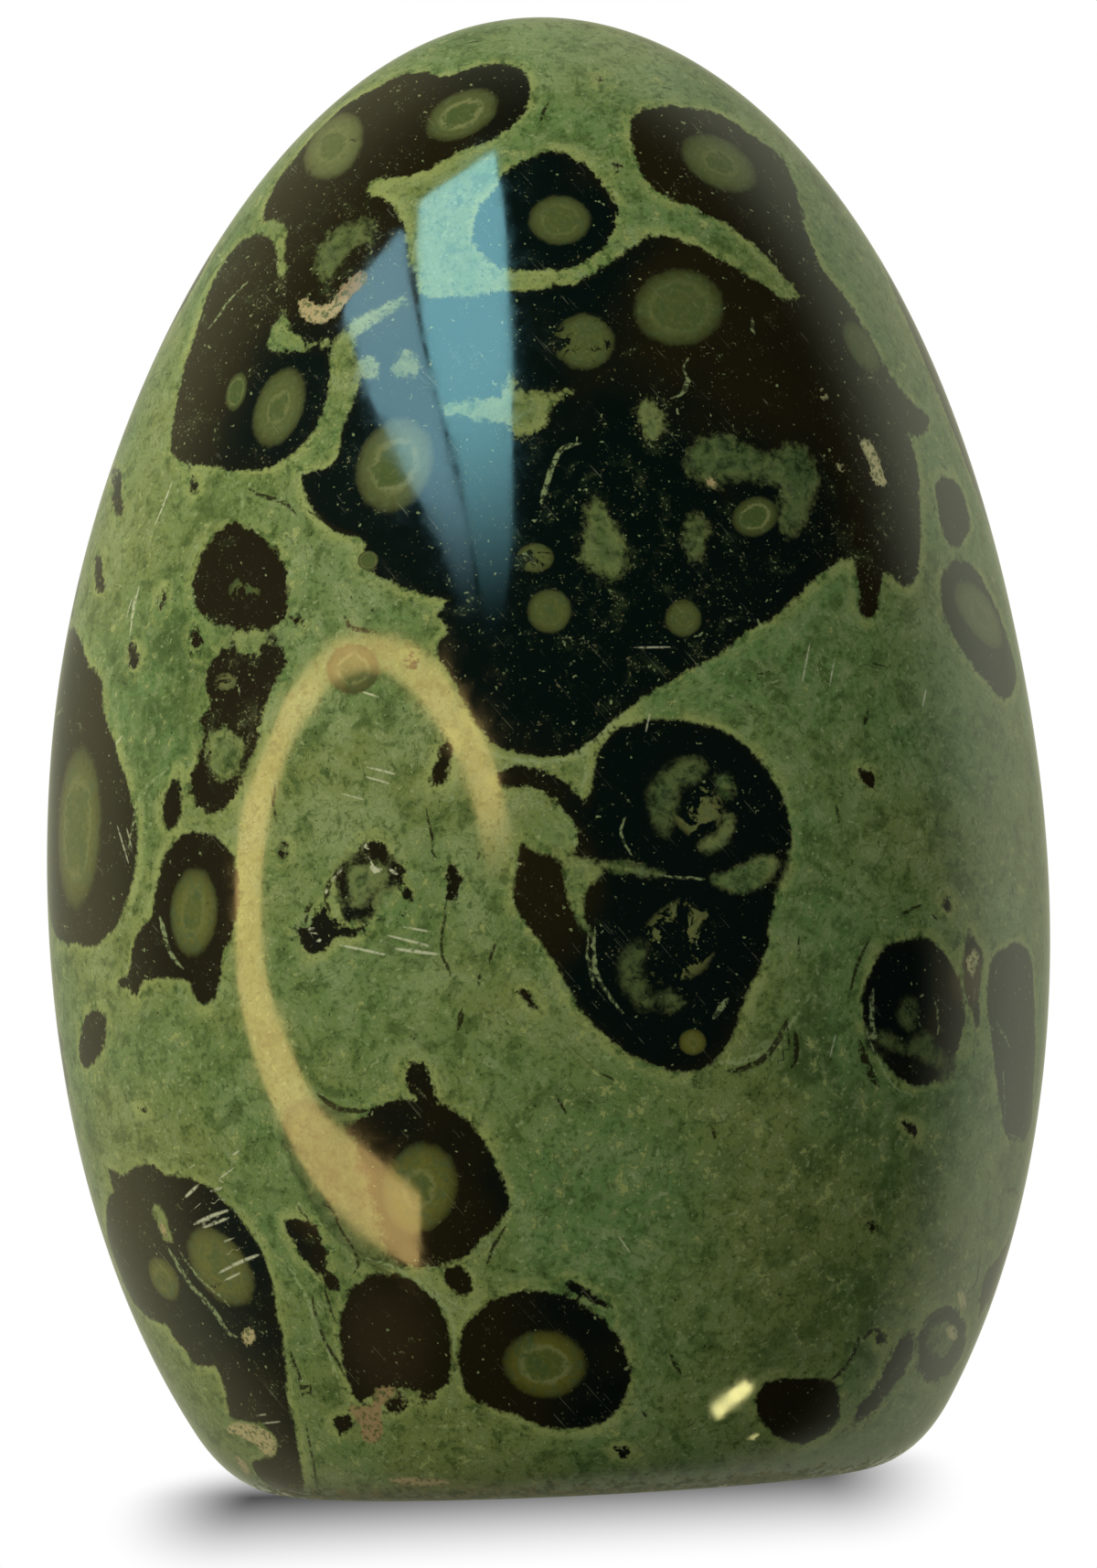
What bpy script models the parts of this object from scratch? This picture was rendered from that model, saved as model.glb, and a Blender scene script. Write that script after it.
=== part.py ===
"""A polished freeform of kambaba jasper: one solid, upright, egg-like stone.

Metres, +Z up. The stone stands on a small flat spot in the XY plane, centred on
the origin, and its broad front face looks along -Y.
"""

import bpy
import bmesh
from mathutils import Vector

# Size of the finished stone
HEIGHT = 0.1090
WIDTH = 0.0745
DEPTH = 0.0500

# Height of the widest place, and how much of the blunt end is ground away for the base
WIDEST_HEIGHT = 0.0432
GROUND_OFF = 0.0135

# Height over which the polished side rounds into the flat base
RIM_BLEND = 0.0050

# The top leans a little to the right, from this height up
TOP_LEAN = 0.0016
LEAN_START = 0.0550

# Hand grinding left the faces uneven: shares of the half depth
FRONT_FULLNESS = 0.05
TWIST = 0.06
RIGHT_FULLNESS = 0.03

# Facets: each step of the icosphere has four times as many
SPHERE_STEPS = 5

STONE_COLOUR = (0.105, 0.140, 0.062, 1.0)
STONE_ROUGHNESS = 0.12

COLLECTION_NAME = "kambaba jasper sculpture"


def clear_scene():
    """Removes whatever the open file holds."""
    for obj in list(bpy.data.objects):
        bpy.data.objects.remove(obj)


def part_collection():
    """The collection named for the object."""
    collection = bpy.data.collections.new(COLLECTION_NAME)
    bpy.context.scene.collection.children.link(collection)
    return collection


def jasper_material():
    """Polished dark green stone."""
    material = bpy.data.materials.new("polished jasper")
    material.use_nodes = True
    shader = material.node_tree.nodes["Principled BSDF"]
    shader.inputs["Base Color"].default_value = STONE_COLOUR
    shader.inputs["Roughness"].default_value = STONE_ROUGHNESS
    shader.inputs["Metallic"].default_value = 0.0
    return material


def smooth_step(share):
    """Eases from 0 to 1."""
    share = min(max(share, 0.0), 1.0)
    return share * share * (3.0 - 2.0 * share)


def soft_floor(height):
    """Height above the base, rounded where the side meets the ground flat."""
    overlap = max(RIM_BLEND - abs(height), 0.0) / RIM_BLEND
    return max(height, 0.0) + overlap * overlap * RIM_BLEND / 4.0


def stone_point(direction):
    """Where a direction of the unit sphere meets the stone's surface."""
    x, y, z = direction
    mean_reach = (HEIGHT + GROUND_OFF) / 2.0
    skew = HEIGHT - WIDEST_HEIGHT - mean_reach
    rise = WIDEST_HEIGHT + mean_reach * z + skew * z * z
    fullness = 1.0 - FRONT_FULLNESS * y + TWIST * x * z + RIGHT_FULLNESS * x
    lean = TOP_LEAN * smooth_step((rise - LEAN_START) / (HEIGHT - LEAN_START))
    return Vector((WIDTH / 2.0 * x + lean, DEPTH / 2.0 * y * fullness, soft_floor(rise)))


def make_stone(collection):
    """The whole stone: a sphere drawn out to the freeform and ground flat below."""
    bm = bmesh.new()
    bmesh.ops.create_icosphere(bm, subdivisions=SPHERE_STEPS, radius=1.0)
    for vert in bm.verts:
        vert.co = stone_point(vert.co.normalized())
    across = [vert.co.x for vert in bm.verts]
    deep = [vert.co.y for vert in bm.verts]
    middle = Vector((min(across) + max(across), min(deep) + max(deep), 0.0)) / 2.0
    bmesh.ops.translate(bm, vec=-middle, verts=bm.verts)
    mesh = bpy.data.meshes.new("stone")
    bm.to_mesh(mesh)
    bm.free()
    mesh.shade_smooth()
    stone = bpy.data.objects.new("stone", mesh)
    mesh.materials.append(jasper_material())
    collection.objects.link(stone)
    return stone


def main():
    clear_scene()
    make_stone(part_collection())


main()
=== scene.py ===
"""Looks of a polished kambaba jasper freeform: the orbicular pattern, the polish and a small studio.

The stone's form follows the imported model. Its pattern is a set of markings laid on the surface as they
are seen from the front, the sides and the back, and stored as fields that the material reads.
"""

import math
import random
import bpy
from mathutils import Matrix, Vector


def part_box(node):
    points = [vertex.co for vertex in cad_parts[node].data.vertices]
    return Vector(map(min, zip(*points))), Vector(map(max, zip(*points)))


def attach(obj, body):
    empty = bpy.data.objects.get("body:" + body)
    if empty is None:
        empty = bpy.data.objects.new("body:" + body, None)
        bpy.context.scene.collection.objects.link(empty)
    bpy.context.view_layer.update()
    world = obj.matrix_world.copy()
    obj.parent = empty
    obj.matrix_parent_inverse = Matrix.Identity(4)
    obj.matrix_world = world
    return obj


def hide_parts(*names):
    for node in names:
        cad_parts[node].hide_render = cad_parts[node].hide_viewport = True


bl_info = {
    "name": "Kambaba jasper freeform",
    "version": (1, 0, 0),
    "blender": (4, 5, 0),
    "location": "View3D > Sidebar > Jasper",
    "description": "Builds a polished orbicular jasper freeform and the studio it stands in",
    "category": "Object",
}

import bmesh
import bpy
import numpy as np
from bpy.props import FloatProperty, FloatVectorProperty, IntProperty, PointerProperty
from mathutils import Matrix, Vector, noise
from mathutils.bvhtree import BVHTree

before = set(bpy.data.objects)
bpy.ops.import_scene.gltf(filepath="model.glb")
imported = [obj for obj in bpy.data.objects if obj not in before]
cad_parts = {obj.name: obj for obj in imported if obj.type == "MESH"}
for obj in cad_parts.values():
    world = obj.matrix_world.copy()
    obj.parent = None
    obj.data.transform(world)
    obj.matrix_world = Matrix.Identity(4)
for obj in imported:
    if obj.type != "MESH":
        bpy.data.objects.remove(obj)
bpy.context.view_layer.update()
STONE_LOW, STONE_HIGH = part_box("stone")

# One millimetre in the script's own unit, the metre. The markings below are in millimetres.
MM = 0.001

# Where the viewer stands when a marking's place is read, in millimetres from the stone's axis and foot
EYE_DISTANCE = 700.0
EYE_HEIGHT = 51.97
EYE_ACROSS = 0.41

# Azimuth in degrees of each side that markings are read from: 0 looks along +Y, 90 along -X
SIDES = {"front": 0.0, "right": 90.0, "back": 180.0, "left": 270.0}

# Height of the point that the surface's directions are measured from, in millimetres
HEART_HEIGHT = 45.0


def seen_from(side, rows):
    """Adds the side that they are seen from to a table's rows."""
    return tuple((side, *row) for row in rows)


# Dark patches: raggedness of the edge, outline (across, up)
DARK_PATCHES = seen_from("front", (
    # band from the top down the upper left edge
    (0.45, (
        (1.4, 104.0), (0.8, 105.2), (-1.8, 105.6), (-5.0, 104.8), (-6.2, 105.2), (-8.0, 105.1),
        (-10.0, 104.2), (-12.2, 103.1), (-14.2, 101.4), (-16.0, 99.6), (-17.6, 97.6), (-18.5, 96.0),
        (-19.0, 94.5), (-20.2, 93.6), (-21.6, 92.2), (-23.0, 89.9), (-24.2, 86.7), (-25.1, 84.3),
        (-25.9, 81.4), (-26.4, 79.2), (-26.3, 77.7), (-25.5, 77.0), (-23.5, 76.8), (-21.6, 76.3),
        (-19.6, 76.3), (-17.6, 77.2), (-16.0, 78.7), (-14.9, 80.8), (-14.3, 83.0), (-14.2, 84.9),
        (-13.2, 86.2), (-11.0, 87.0), (-8.6, 87.6), (-7.4, 89.0), (-8.1, 91.5), (-8.5, 94.2), (-9.3, 95.7),
        (-11.3, 96.7), (-10.2, 97.5), (-8.0, 97.5), (-6.2, 98.0), (-4.2, 99.1), (-1.8, 99.9), (0.2, 101.0),
        (1.2, 102.5))),
    # surround of the eye right of the top
    (0.55, (
        (-2.9, 94.8), (-1.6, 96.2), (-0.6, 97.7), (1.0, 98.4), (2.6, 98.9), (4.4, 98.5), (5.9, 97.2),
        (7.0, 95.6), (7.5, 94.0), (7.1, 92.6), (6.0, 91.3), (4.4, 90.4), (2.4, 90.1), (0.2, 90.2),
        (-1.6, 90.5), (-2.9, 91.6), (-3.3, 93.2))),
    # upper right patch, which runs down under the right rim
    (0.5, (
        (8.9, 101.0), (10.5, 101.8), (12.5, 101.8), (15.2, 101.2), (17.6, 99.6), (19.9, 97.7), (20.9, 95.2),
        (21.4, 92.4), (22.5, 89.3), (24.0, 87.3), (25.3, 85.0), (26.8, 81.9), (28.6, 79.2), (30.0, 77.6),
        (29.3, 76.6), (28.3, 76.8), (27.0, 79.3), (25.2, 82.6), (23.3, 85.1), (21.0, 87.2), (19.5, 89.1),
        (17.6, 91.2), (15.3, 93.1), (12.9, 94.3), (10.6, 95.5), (9.4, 97.2), (8.8, 99.2))),
    # the great patch in the middle
    (0.35, (
        (-7.4, 88.5), (-4.5, 88.4), (-1.2, 88.7), (2.0, 88.8), (4.6, 89.3), (6.6, 90.4), (8.6, 91.7),
        (10.6, 92.3), (12.4, 91.8), (14.2, 90.7), (16.2, 89.6), (18.1, 88.3), (19.7, 87.0), (21.2, 87.2),
        (22.9, 86.3), (24.6, 83.6), (26.3, 80.6), (27.9, 77.8), (28.8, 75.0), (29.0, 71.5), (28.8, 68.0),
        (28.3, 65.7), (27.3, 65.4), (26.3, 66.6), (25.8, 65.6), (25.6, 64.0), (24.9, 63.1), (24.1, 63.6),
        (24.0, 65.4), (23.8, 67.6), (22.4, 67.2), (20.8, 66.1), (19.2, 64.7), (17.6, 63.4), (15.8, 62.6),
        (14.4, 61.6), (12.8, 60.6), (10.8, 59.7), (8.8, 58.6), (7.2, 57.7), (5.8, 56.7), (4.6, 55.6),
        (3.0, 54.5), (1.0, 54.0), (-1.0, 54.2), (-3.0, 54.8), (-4.2, 55.7), (-5.0, 57.2), (-5.8, 58.9),
        (-6.6, 60.4), (-7.3, 61.6), (-7.4, 62.8), (-6.4, 63.8), (-7.2, 65.0), (-6.2, 65.9), (-8.2, 66.4),
        (-9.8, 67.0), (-11.0, 67.7), (-12.1, 68.3), (-12.8, 69.3), (-12.4, 70.3), (-13.4, 71.1),
        (-14.9, 71.7), (-16.0, 73.0), (-16.7, 74.6), (-16.6, 75.9), (-14.5, 76.4), (-13.9, 78.2),
        (-13.3, 80.2), (-12.2, 81.7), (-12.2, 83.6), (-12.4, 85.6), (-10.4, 87.0), (-8.4, 87.8))),
    # left: blob over a mottled tail
    (0.5, (
        (-22.6, 72.4), (-21.2, 72.2), (-20.1, 71.4), (-19.0, 70.2), (-18.3, 68.8), (-18.2, 67.0),
        (-18.6, 65.2), (-19.6, 64.4), (-18.9, 63.2), (-18.5, 62.0), (-19.5, 60.5), (-20.4, 58.6),
        (-21.0, 56.4), (-22.0, 54.2), (-22.9, 52.2), (-24.0, 51.0), (-25.4, 51.2), (-26.2, 52.4),
        (-25.9, 54.2), (-25.1, 56.0), (-25.3, 57.8), (-24.4, 59.0), (-24.7, 60.6), (-24.2, 62.2),
        (-23.0, 63.2), (-22.8, 64.6), (-24.0, 65.0), (-25.0, 66.0), (-25.4, 67.6), (-24.9, 69.4),
        (-24.1, 70.9))),
    (0.3, (
        (-28.4, 50.5), (-28.2, 52.2), (-27.4, 53.8), (-27.0, 54.4), (-26.9, 52.6), (-27.0, 50.8),
        (-27.6, 49.9))),
    # orb of the left side and its tails
    (0.3, (
        (-26.0, 49.7), (-24.4, 49.2), (-23.4, 48.0), (-22.9, 46.2), (-23.0, 44.2), (-23.6, 42.0),
        (-24.4, 40.3), (-24.7, 38.5), (-25.2, 37.1), (-26.1, 36.7), (-26.7, 37.7), (-27.2, 38.6),
        (-28.8, 38.9), (-30.3, 38.7), (-31.1, 37.3), (-31.4, 38.3), (-32.6, 38.5), (-31.5, 39.3),
        (-31.2, 40.6), (-30.6, 42.4), (-29.7, 43.2), (-29.2, 45.0), (-28.8, 46.8), (-28.2, 48.2),
        (-27.2, 49.3))),
    # long orb at the left edge
    (0.3, (
        (-34.3, 65.2), (-33.3, 62.4), (-32.4, 59.0), (-31.5, 56.0), (-30.8, 53.2), (-30.3, 50.6),
        (-30.4, 48.0), (-31.2, 45.0), (-32.3, 42.8), (-33.7, 41.6), (-35.0, 41.7), (-36.2, 43.0),
        (-37.0, 46.0), (-37.3, 50.0), (-37.1, 55.0), (-36.3, 60.0), (-35.4, 64.0))),
    (0.4, (
        (-34.0, 36.9), (-33.3, 36.3), (-33.3, 34.6), (-34.2, 33.0), (-35.0, 32.3), (-35.4, 33.6),
        (-35.1, 35.4), (-34.7, 36.4))),
    # lower left patch
    (0.25, (
        (-33.7, 25.0), (-32.9, 24.5), (-31.7, 24.1), (-30.6, 23.8), (-29.5, 24.2), (-28.6, 24.2),
        (-27.4, 23.9), (-26.3, 23.3), (-25.2, 22.3), (-24.2, 21.1), (-23.3, 19.8), (-22.7, 18.7),
        (-22.2, 17.3), (-21.8, 15.7), (-21.6, 13.8), (-21.3, 12.0), (-21.2, 10.2), (-21.1, 8.4),
        (-21.0, 6.8), (-20.6, 4.7), (-20.4, 2.7), (-20.2, 1.1), (-20.3, -0.2), (-21.7, 0.3), (-23.1, 1.1),
        (-23.9, 2.1), (-23.9, 2.8), (-22.5, 3.0), (-22.0, 3.9), (-22.4, 4.8), (-23.3, 5.5), (-25.1, 5.9),
        (-25.5, 6.3), (-25.6, 7.5), (-25.9, 8.8), (-26.3, 9.8), (-27.0, 9.9), (-27.9, 10.1), (-28.4, 11.0),
        (-29.3, 12.2), (-30.1, 13.8), (-30.8, 15.4), (-31.5, 17.2), (-32.2, 19.3), (-32.8, 21.4),
        (-33.2, 23.2))),
    # crescent round the lower middle orb
    (0.45, (
        (-19.0, 27.6), (-17.4, 27.8), (-15.8, 27.4), (-14.2, 28.2), (-12.6, 28.9), (-10.4, 29.1),
        (-8.2, 28.4), (-6.4, 26.9), (-5.2, 24.8), (-4.3, 22.6), (-3.9, 21.0), (-4.6, 19.6), (-5.9, 18.6),
        (-7.0, 17.4), (-8.8, 16.7), (-10.8, 16.6), (-12.4, 16.9), (-14.3, 18.6), (-16.3, 20.8),
        (-18.0, 23.2), (-19.0, 26.0))),
    (0.9, (
        (-11.4, 31.2), (-10.6, 31.9), (-9.7, 31.6), (-9.4, 30.4), (-9.0, 29.0), (-10.4, 28.6),
        (-10.9, 29.8))),
    (0.5, ((-9.2, 16.2), (-8.0, 16.6), (-7.0, 15.8), (-7.2, 14.6), (-8.3, 14.4))),
    # brown-black blob of the lower left middle
    (0.3, (
        (-15.6, 15.5), (-14.0, 16.1), (-12.0, 15.8), (-10.4, 14.8), (-9.2, 13.0), (-8.8, 11.0), (-8.9, 9.0),
        (-9.4, 7.5), (-11.2, 7.3), (-13.0, 7.6), (-14.6, 7.1), (-15.8, 6.8), (-16.6, 8.2), (-17.0, 10.5),
        (-17.0, 12.6), (-16.5, 14.4))),
    (0.7, ((-14.0, 6.9), (-12.9, 7.0), (-12.0, 6.6), (-12.6, 5.9), (-13.6, 6.0))),
    (0.7, ((-11.4, 7.1), (-10.5, 6.9), (-10.5, 6.3), (-11.2, 6.4))),
    (0.8, ((-17.8, 5.4), (-17.0, 5.9), (-16.3, 5.4), (-16.8, 4.7), (-17.5, 4.6))),
    (0.8, ((-15.4, 6.0), (-14.7, 6.3), (-14.4, 5.0), (-15.0, 4.5), (-15.5, 5.1))),
    (0.5, (
        (-20.7, 20.5), (-19.9, 20.6), (-18.8, 20.3), (-18.0, 19.3), (-17.7, 18.2), (-17.8, 16.8),
        (-18.5, 16.2), (-18.7, 16.9), (-19.6, 17.6), (-20.0, 18.5), (-20.4, 19.5))),
    (0.5, ((-18.0, 16.6), (-17.1, 16.4), (-16.8, 15.4), (-17.4, 15.0), (-18.0, 15.7))),
    # orb at the foot
    (0.25, (
        (-8.3, 9.8), (-7.8, 11.8), (-6.6, 13.2), (-5.0, 14.1), (-3.0, 14.5), (-0.6, 14.1), (1.4, 13.1),
        (3.2, 11.4), (4.3, 9.3), (4.3, 7.2), (3.5, 5.4), (2.0, 4.3), (0.0, 4.0), (-2.2, 4.3), (-4.2, 5.2),
        (-6.2, 6.0), (-7.6, 6.8), (-8.2, 8.2))),
    (0.4, ((0.0, 15.1), (1.4, 14.5), (3.4, 12.7), (2.8, 12.9), (1.4, 13.6), (0.2, 14.2))),
    # blob of two orbs right of the middle
    (0.15, (
        (5.2, 55.5), (6.4, 56.1), (8.4, 56.4), (10.8, 56.2), (13.0, 55.6), (14.8, 54.5), (16.3, 52.9),
        (17.4, 51.0), (18.1, 49.0), (18.3, 47.0), (17.9, 45.2), (17.1, 43.4), (16.5, 41.5), (16.2, 39.6),
        (15.6, 37.8), (14.8, 36.4), (14.0, 34.6), (13.4, 33.0), (12.4, 31.4), (11.0, 30.3), (9.2, 30.1),
        (7.2, 30.7), (5.2, 31.8), (3.6, 33.2), (2.3, 34.6), (1.3, 36.4), (0.4, 38.4), (-0.8, 40.3),
        (-2.0, 42.0), (-2.6, 43.6), (-2.3, 45.6), (-1.9, 47.9), (-0.9, 47.0), (0.4, 46.6), (1.3, 46.2),
        (2.4, 47.4), (2.4, 48.8), (3.2, 50.4), (3.8, 52.4), (4.2, 54.2))),
    (0.6, (
        (-3.4, 53.1), (-1.6, 53.4), (0.0, 53.1), (1.4, 52.4), (2.4, 51.2), (3.4, 49.6), (4.4, 47.8),
        (3.2, 47.4), (2.2, 48.8), (1.2, 50.4), (0.0, 51.4), (-1.6, 51.8), (-3.0, 51.8))),
    # orb at the right and its neighbours
    (0.2, (
        (26.3, 39.2), (27.4, 39.3), (27.9, 39.3), (28.4, 38.8), (29.0, 38.4), (29.6, 37.4), (30.1, 36.3),
        (30.3, 35.1), (30.6, 33.4), (30.2, 31.9), (29.7, 30.5), (29.1, 29.4), (28.4, 28.7), (27.2, 28.2),
        (26.2, 28.4), (25.2, 29.0), (24.4, 30.1), (23.7, 31.2), (23.2, 32.2), (22.9, 33.4), (22.9, 34.6),
        (23.1, 35.8), (23.7, 37.1), (24.4, 38.3), (25.3, 39.0))),
    (0.2, (
        (33.7, 38.3), (32.9, 37.7), (32.4, 36.4), (32.2, 34.7), (32.2, 33.3), (32.4, 31.6), (32.5, 29.9),
        (32.7, 27.3), (33.0, 24.8), (33.3, 24.1), (34.4, 23.8), (35.1, 25.3), (35.3, 27.7), (35.6, 30.4),
        (35.7, 33.8), (35.7, 36.2), (35.5, 37.9), (34.5, 38.6))),
    (0.15, (
        (31.2, 40.0), (31.4, 39.1), (32.0, 38.1), (32.0, 37.4), (31.8, 35.9), (31.6, 34.0), (31.6, 32.7),
        (31.2, 31.3), (31.0, 30.3), (31.2, 32.3), (31.0, 33.7), (30.6, 35.1), (30.5, 36.4), (30.6, 37.8),
        (30.9, 39.0))),
    (0.3, (
        (30.2, 65.6), (30.9, 67.0), (32.0, 67.2), (33.0, 66.2), (34.2, 63.6), (35.2, 60.4), (35.5, 58.0),
        (34.6, 56.6), (33.4, 57.8), (32.2, 59.5), (31.1, 61.3), (30.3, 63.4))),
    (0.3, (
        (30.2, 73.0), (31.2, 73.4), (32.2, 72.0), (32.6, 69.8), (31.8, 68.2), (30.8, 68.5), (30.3, 70.6))),
    # reddish brown blob and branching marks low on the right
    (0.2, (
        (13.6, 5.3), (14.0, 6.5), (15.4, 7.0), (17.5, 7.0), (19.2, 6.8), (19.9, 5.6), (19.8, 4.0),
        (18.7, 2.8), (17.0, 2.1), (15.3, 2.6), (14.2, 3.7))),
    (0.5, (
        (25.6, 10.0), (24.4, 9.3), (23.2, 7.2), (22.2, 5.7), (21.2, 4.7), (21.0, 3.6), (21.9, 4.0),
        (23.2, 5.2), (24.4, 6.6), (25.2, 8.0))),
    (0.8, (
        (26.0, 9.8), (27.0, 11.2), (28.6, 11.9), (29.4, 10.4), (29.2, 8.4), (27.8, 6.6), (26.2, 6.4),
        (25.8, 8.0))),
    # crystalline pits left of the middle
    (0.5, (
        (-15.7, 45.4), (-15.4, 46.3), (-14.9, 46.8), (-14.3, 47.3), (-13.7, 47.6), (-13.7, 48.2),
        (-13.0, 48.4), (-12.2, 48.3), (-11.9, 47.8), (-11.5, 47.2), (-11.4, 46.7), (-11.0, 46.4),
        (-10.5, 46.1), (-10.8, 45.6), (-11.1, 45.2), (-11.7, 44.8), (-12.3, 44.7), (-12.9, 44.5),
        (-13.0, 43.9), (-12.9, 43.1), (-13.3, 42.6), (-14.0, 42.3), (-14.7, 42.4), (-15.3, 42.6),
        (-15.4, 43.4), (-15.3, 44.0), (-15.5, 44.7))),
    (0.7, (
        (-18.9, 42.3), (-18.5, 42.2), (-18.0, 42.3), (-17.5, 42.9), (-17.2, 43.3), (-16.7, 43.8),
        (-16.4, 43.4), (-16.3, 43.0), (-15.8, 42.5), (-15.7, 42.0), (-15.9, 41.5), (-16.3, 40.9),
        (-16.9, 40.5), (-17.7, 40.2), (-18.2, 40.5), (-18.4, 41.1), (-18.7, 41.7))),
    (0.5, (
        (-15.8, 42.4), (-15.2, 42.3), (-14.5, 42.0), (-13.8, 42.0), (-13.2, 42.1), (-13.4, 41.8),
        (-14.0, 41.5), (-14.9, 41.3), (-15.6, 41.4))),
    (0.6, (
        (-7.3, 46.2), (-7.0, 46.2), (-6.6, 45.8), (-6.3, 45.1), (-6.6, 44.5), (-6.9, 43.8), (-7.4, 43.7),
        (-7.6, 44.2), (-7.4, 44.9), (-7.5, 45.5))),
    (0.6, (
        (-6.9, 55.9), (-6.5, 54.8), (-7.0, 53.6), (-7.5, 52.3), (-8.3, 52.4), (-8.1, 53.4), (-7.5, 54.4),
        (-7.5, 55.5))),
    (0.6, ((-30.3, 62.2), (-29.7, 62.0), (-29.5, 63.0), (-29.8, 64.2), (-30.3, 63.4))),
    (0.9, ((-28.0, 65.4), (-27.6, 66.4), (-27.3, 67.6), (-27.7, 67.4), (-28.1, 66.4))),
    # small dark grains in the green
    (0.5, ((23.5, 51.9), (24.2, 51.8), (24.8, 51.2), (24.5, 50.4), (23.8, 51.0))),
    (0.5, ((29.2, 42.1), (29.6, 42.2), (29.9, 41.4), (29.6, 41.0), (29.3, 41.3))),
    (0.5, ((22.5, 18.2), (23.1, 18.2), (23.2, 17.6), (22.6, 17.6))),
    (0.5, ((25.4, 25.5), (25.9, 25.7), (26.6, 25.1), (26.5, 24.5), (25.9, 24.8))),
    (0.5, ((-10.7, 44.6), (-10.2, 44.6), (-10.1, 44.2), (-10.6, 44.1))),
    (0.4, ((6.4, 104.2), (6.9, 104.3), (7.0, 103.8), (6.5, 103.7))),
    (0.5, ((22.8, 9.9), (23.6, 9.9), (23.6, 9.3), (22.9, 9.3))),
    (0.5, ((-2.5, 36.8), (-1.7, 36.6), (-1.2, 35.4), (-1.9, 35.6))),
    (0.5, ((7.3, 97.9), (7.9, 97.8), (8.0, 97.3), (7.4, 97.4))),
    (0.7, ((3.0, 2.4), (4.0, 2.4), (4.1, 1.8), (3.2, 1.9))),
    (0.6, ((-19.8, 48.5), (-19.2, 48.5), (-19.4, 47.3), (-19.9, 47.4))),
    (0.6, ((-25.2, 75.7), (-24.7, 75.9), (-24.4, 75.2), (-24.8, 74.9))),
    (0.6, ((-31.3, 29.6), (-30.7, 29.5), (-30.8, 29.1), (-31.2, 29.2))),
    (0.6, ((-18.1, 65.1), (-17.5, 65.4), (-17.2, 64.9), (-17.8, 64.6))),
    (1.0, ((-25.6, 64.4), (-25.0, 64.6), (-24.8, 63.4), (-25.2, 62.8), (-25.6, 63.6))),
    (0.7, ((-9.4, 62.2), (-8.9, 61.8), (-9.2, 61.0), (-9.6, 61.4))),
    (0.9, ((-10.9, 44.6), (-10.2, 44.7), (-10.2, 44.1), (-10.8, 44.1))),
    (0.9, ((-11.2, 42.9), (-10.7, 42.8), (-11.0, 42.2), (-11.4, 42.4))),
    (0.8, ((-32.5, 70.3), (-32.0, 70.2), (-31.9, 68.2), (-32.4, 68.0))),
    (0.8, ((-30.9, 76.8), (-30.3, 76.6), (-30.3, 73.4), (-30.8, 73.4))),
)) + seen_from("right", (
    # the sides and the back, which the photograph doesn't show
    (0.4, (
        (-3.0, 88.0), (-0.5, 91.5), (2.5, 91.5), (6.5, 86.0), (9.0, 79.0), (6.5, 72.0), (2.5, 69.0),
        (-1.5, 70.5), (-3.5, 75.0), (-4.0, 82.0))),
    (0.5, ((9.0, 31.0), (14.0, 33.5), (19.0, 30.0), (20.5, 22.0), (17.5, 14.0), (12.0, 13.0), (8.0, 19.0))),
)) + seen_from("back", (
    (0.5, (
        (-12.0, 99.0), (-4.0, 101.0), (3.0, 97.0), (6.0, 90.0), (2.5, 84.0), (4.5, 77.0), (1.0, 70.0),
        (-6.0, 66.0), (-10.0, 58.0), (-17.0, 54.0), (-22.0, 60.0), (-27.0, 66.0), (-29.0, 74.0),
        (-25.0, 82.0), (-20.0, 90.0))),
    (0.4, (
        (8.0, 44.0), (15.0, 46.0), (21.0, 42.0), (22.0, 34.5), (28.0, 30.0), (30.0, 22.0), (27.0, 12.0),
        (22.0, 6.0), (15.0, 7.0), (12.0, 14.0), (6.0, 17.0), (3.0, 24.0), (6.0, 31.0), (4.0, 38.0))),
    (0.8, ((-2.0, 50.0), (2.0, 53.0), (5.0, 51.0), (3.0, 48.5), (4.5, 46.0), (1.0, 45.5), (-1.0, 47.5))),
)) + seen_from("left", (
    (0.4, (
        (8.5, 62.5), (3.5, 60.0), (0.0, 54.0), (-1.5, 49.0), (1.0, 44.5), (5.0, 41.5), (9.5, 42.5),
        (11.0, 50.0), (10.5, 58.0))),
    (0.4, ((13.0, 24.0), (7.0, 22.0), (3.0, 18.0), (3.5, 13.5), (8.0, 12.0), (13.0, 14.0))),
    (0.6, (
        (1.5, 93.0), (-3.5, 96.0), (-8.5, 93.0), (-12.5, 86.0), (-11.5, 79.0), (-6.5, 75.5), (-1.5, 79.0),
        (0.5, 86.0))),
))

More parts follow.
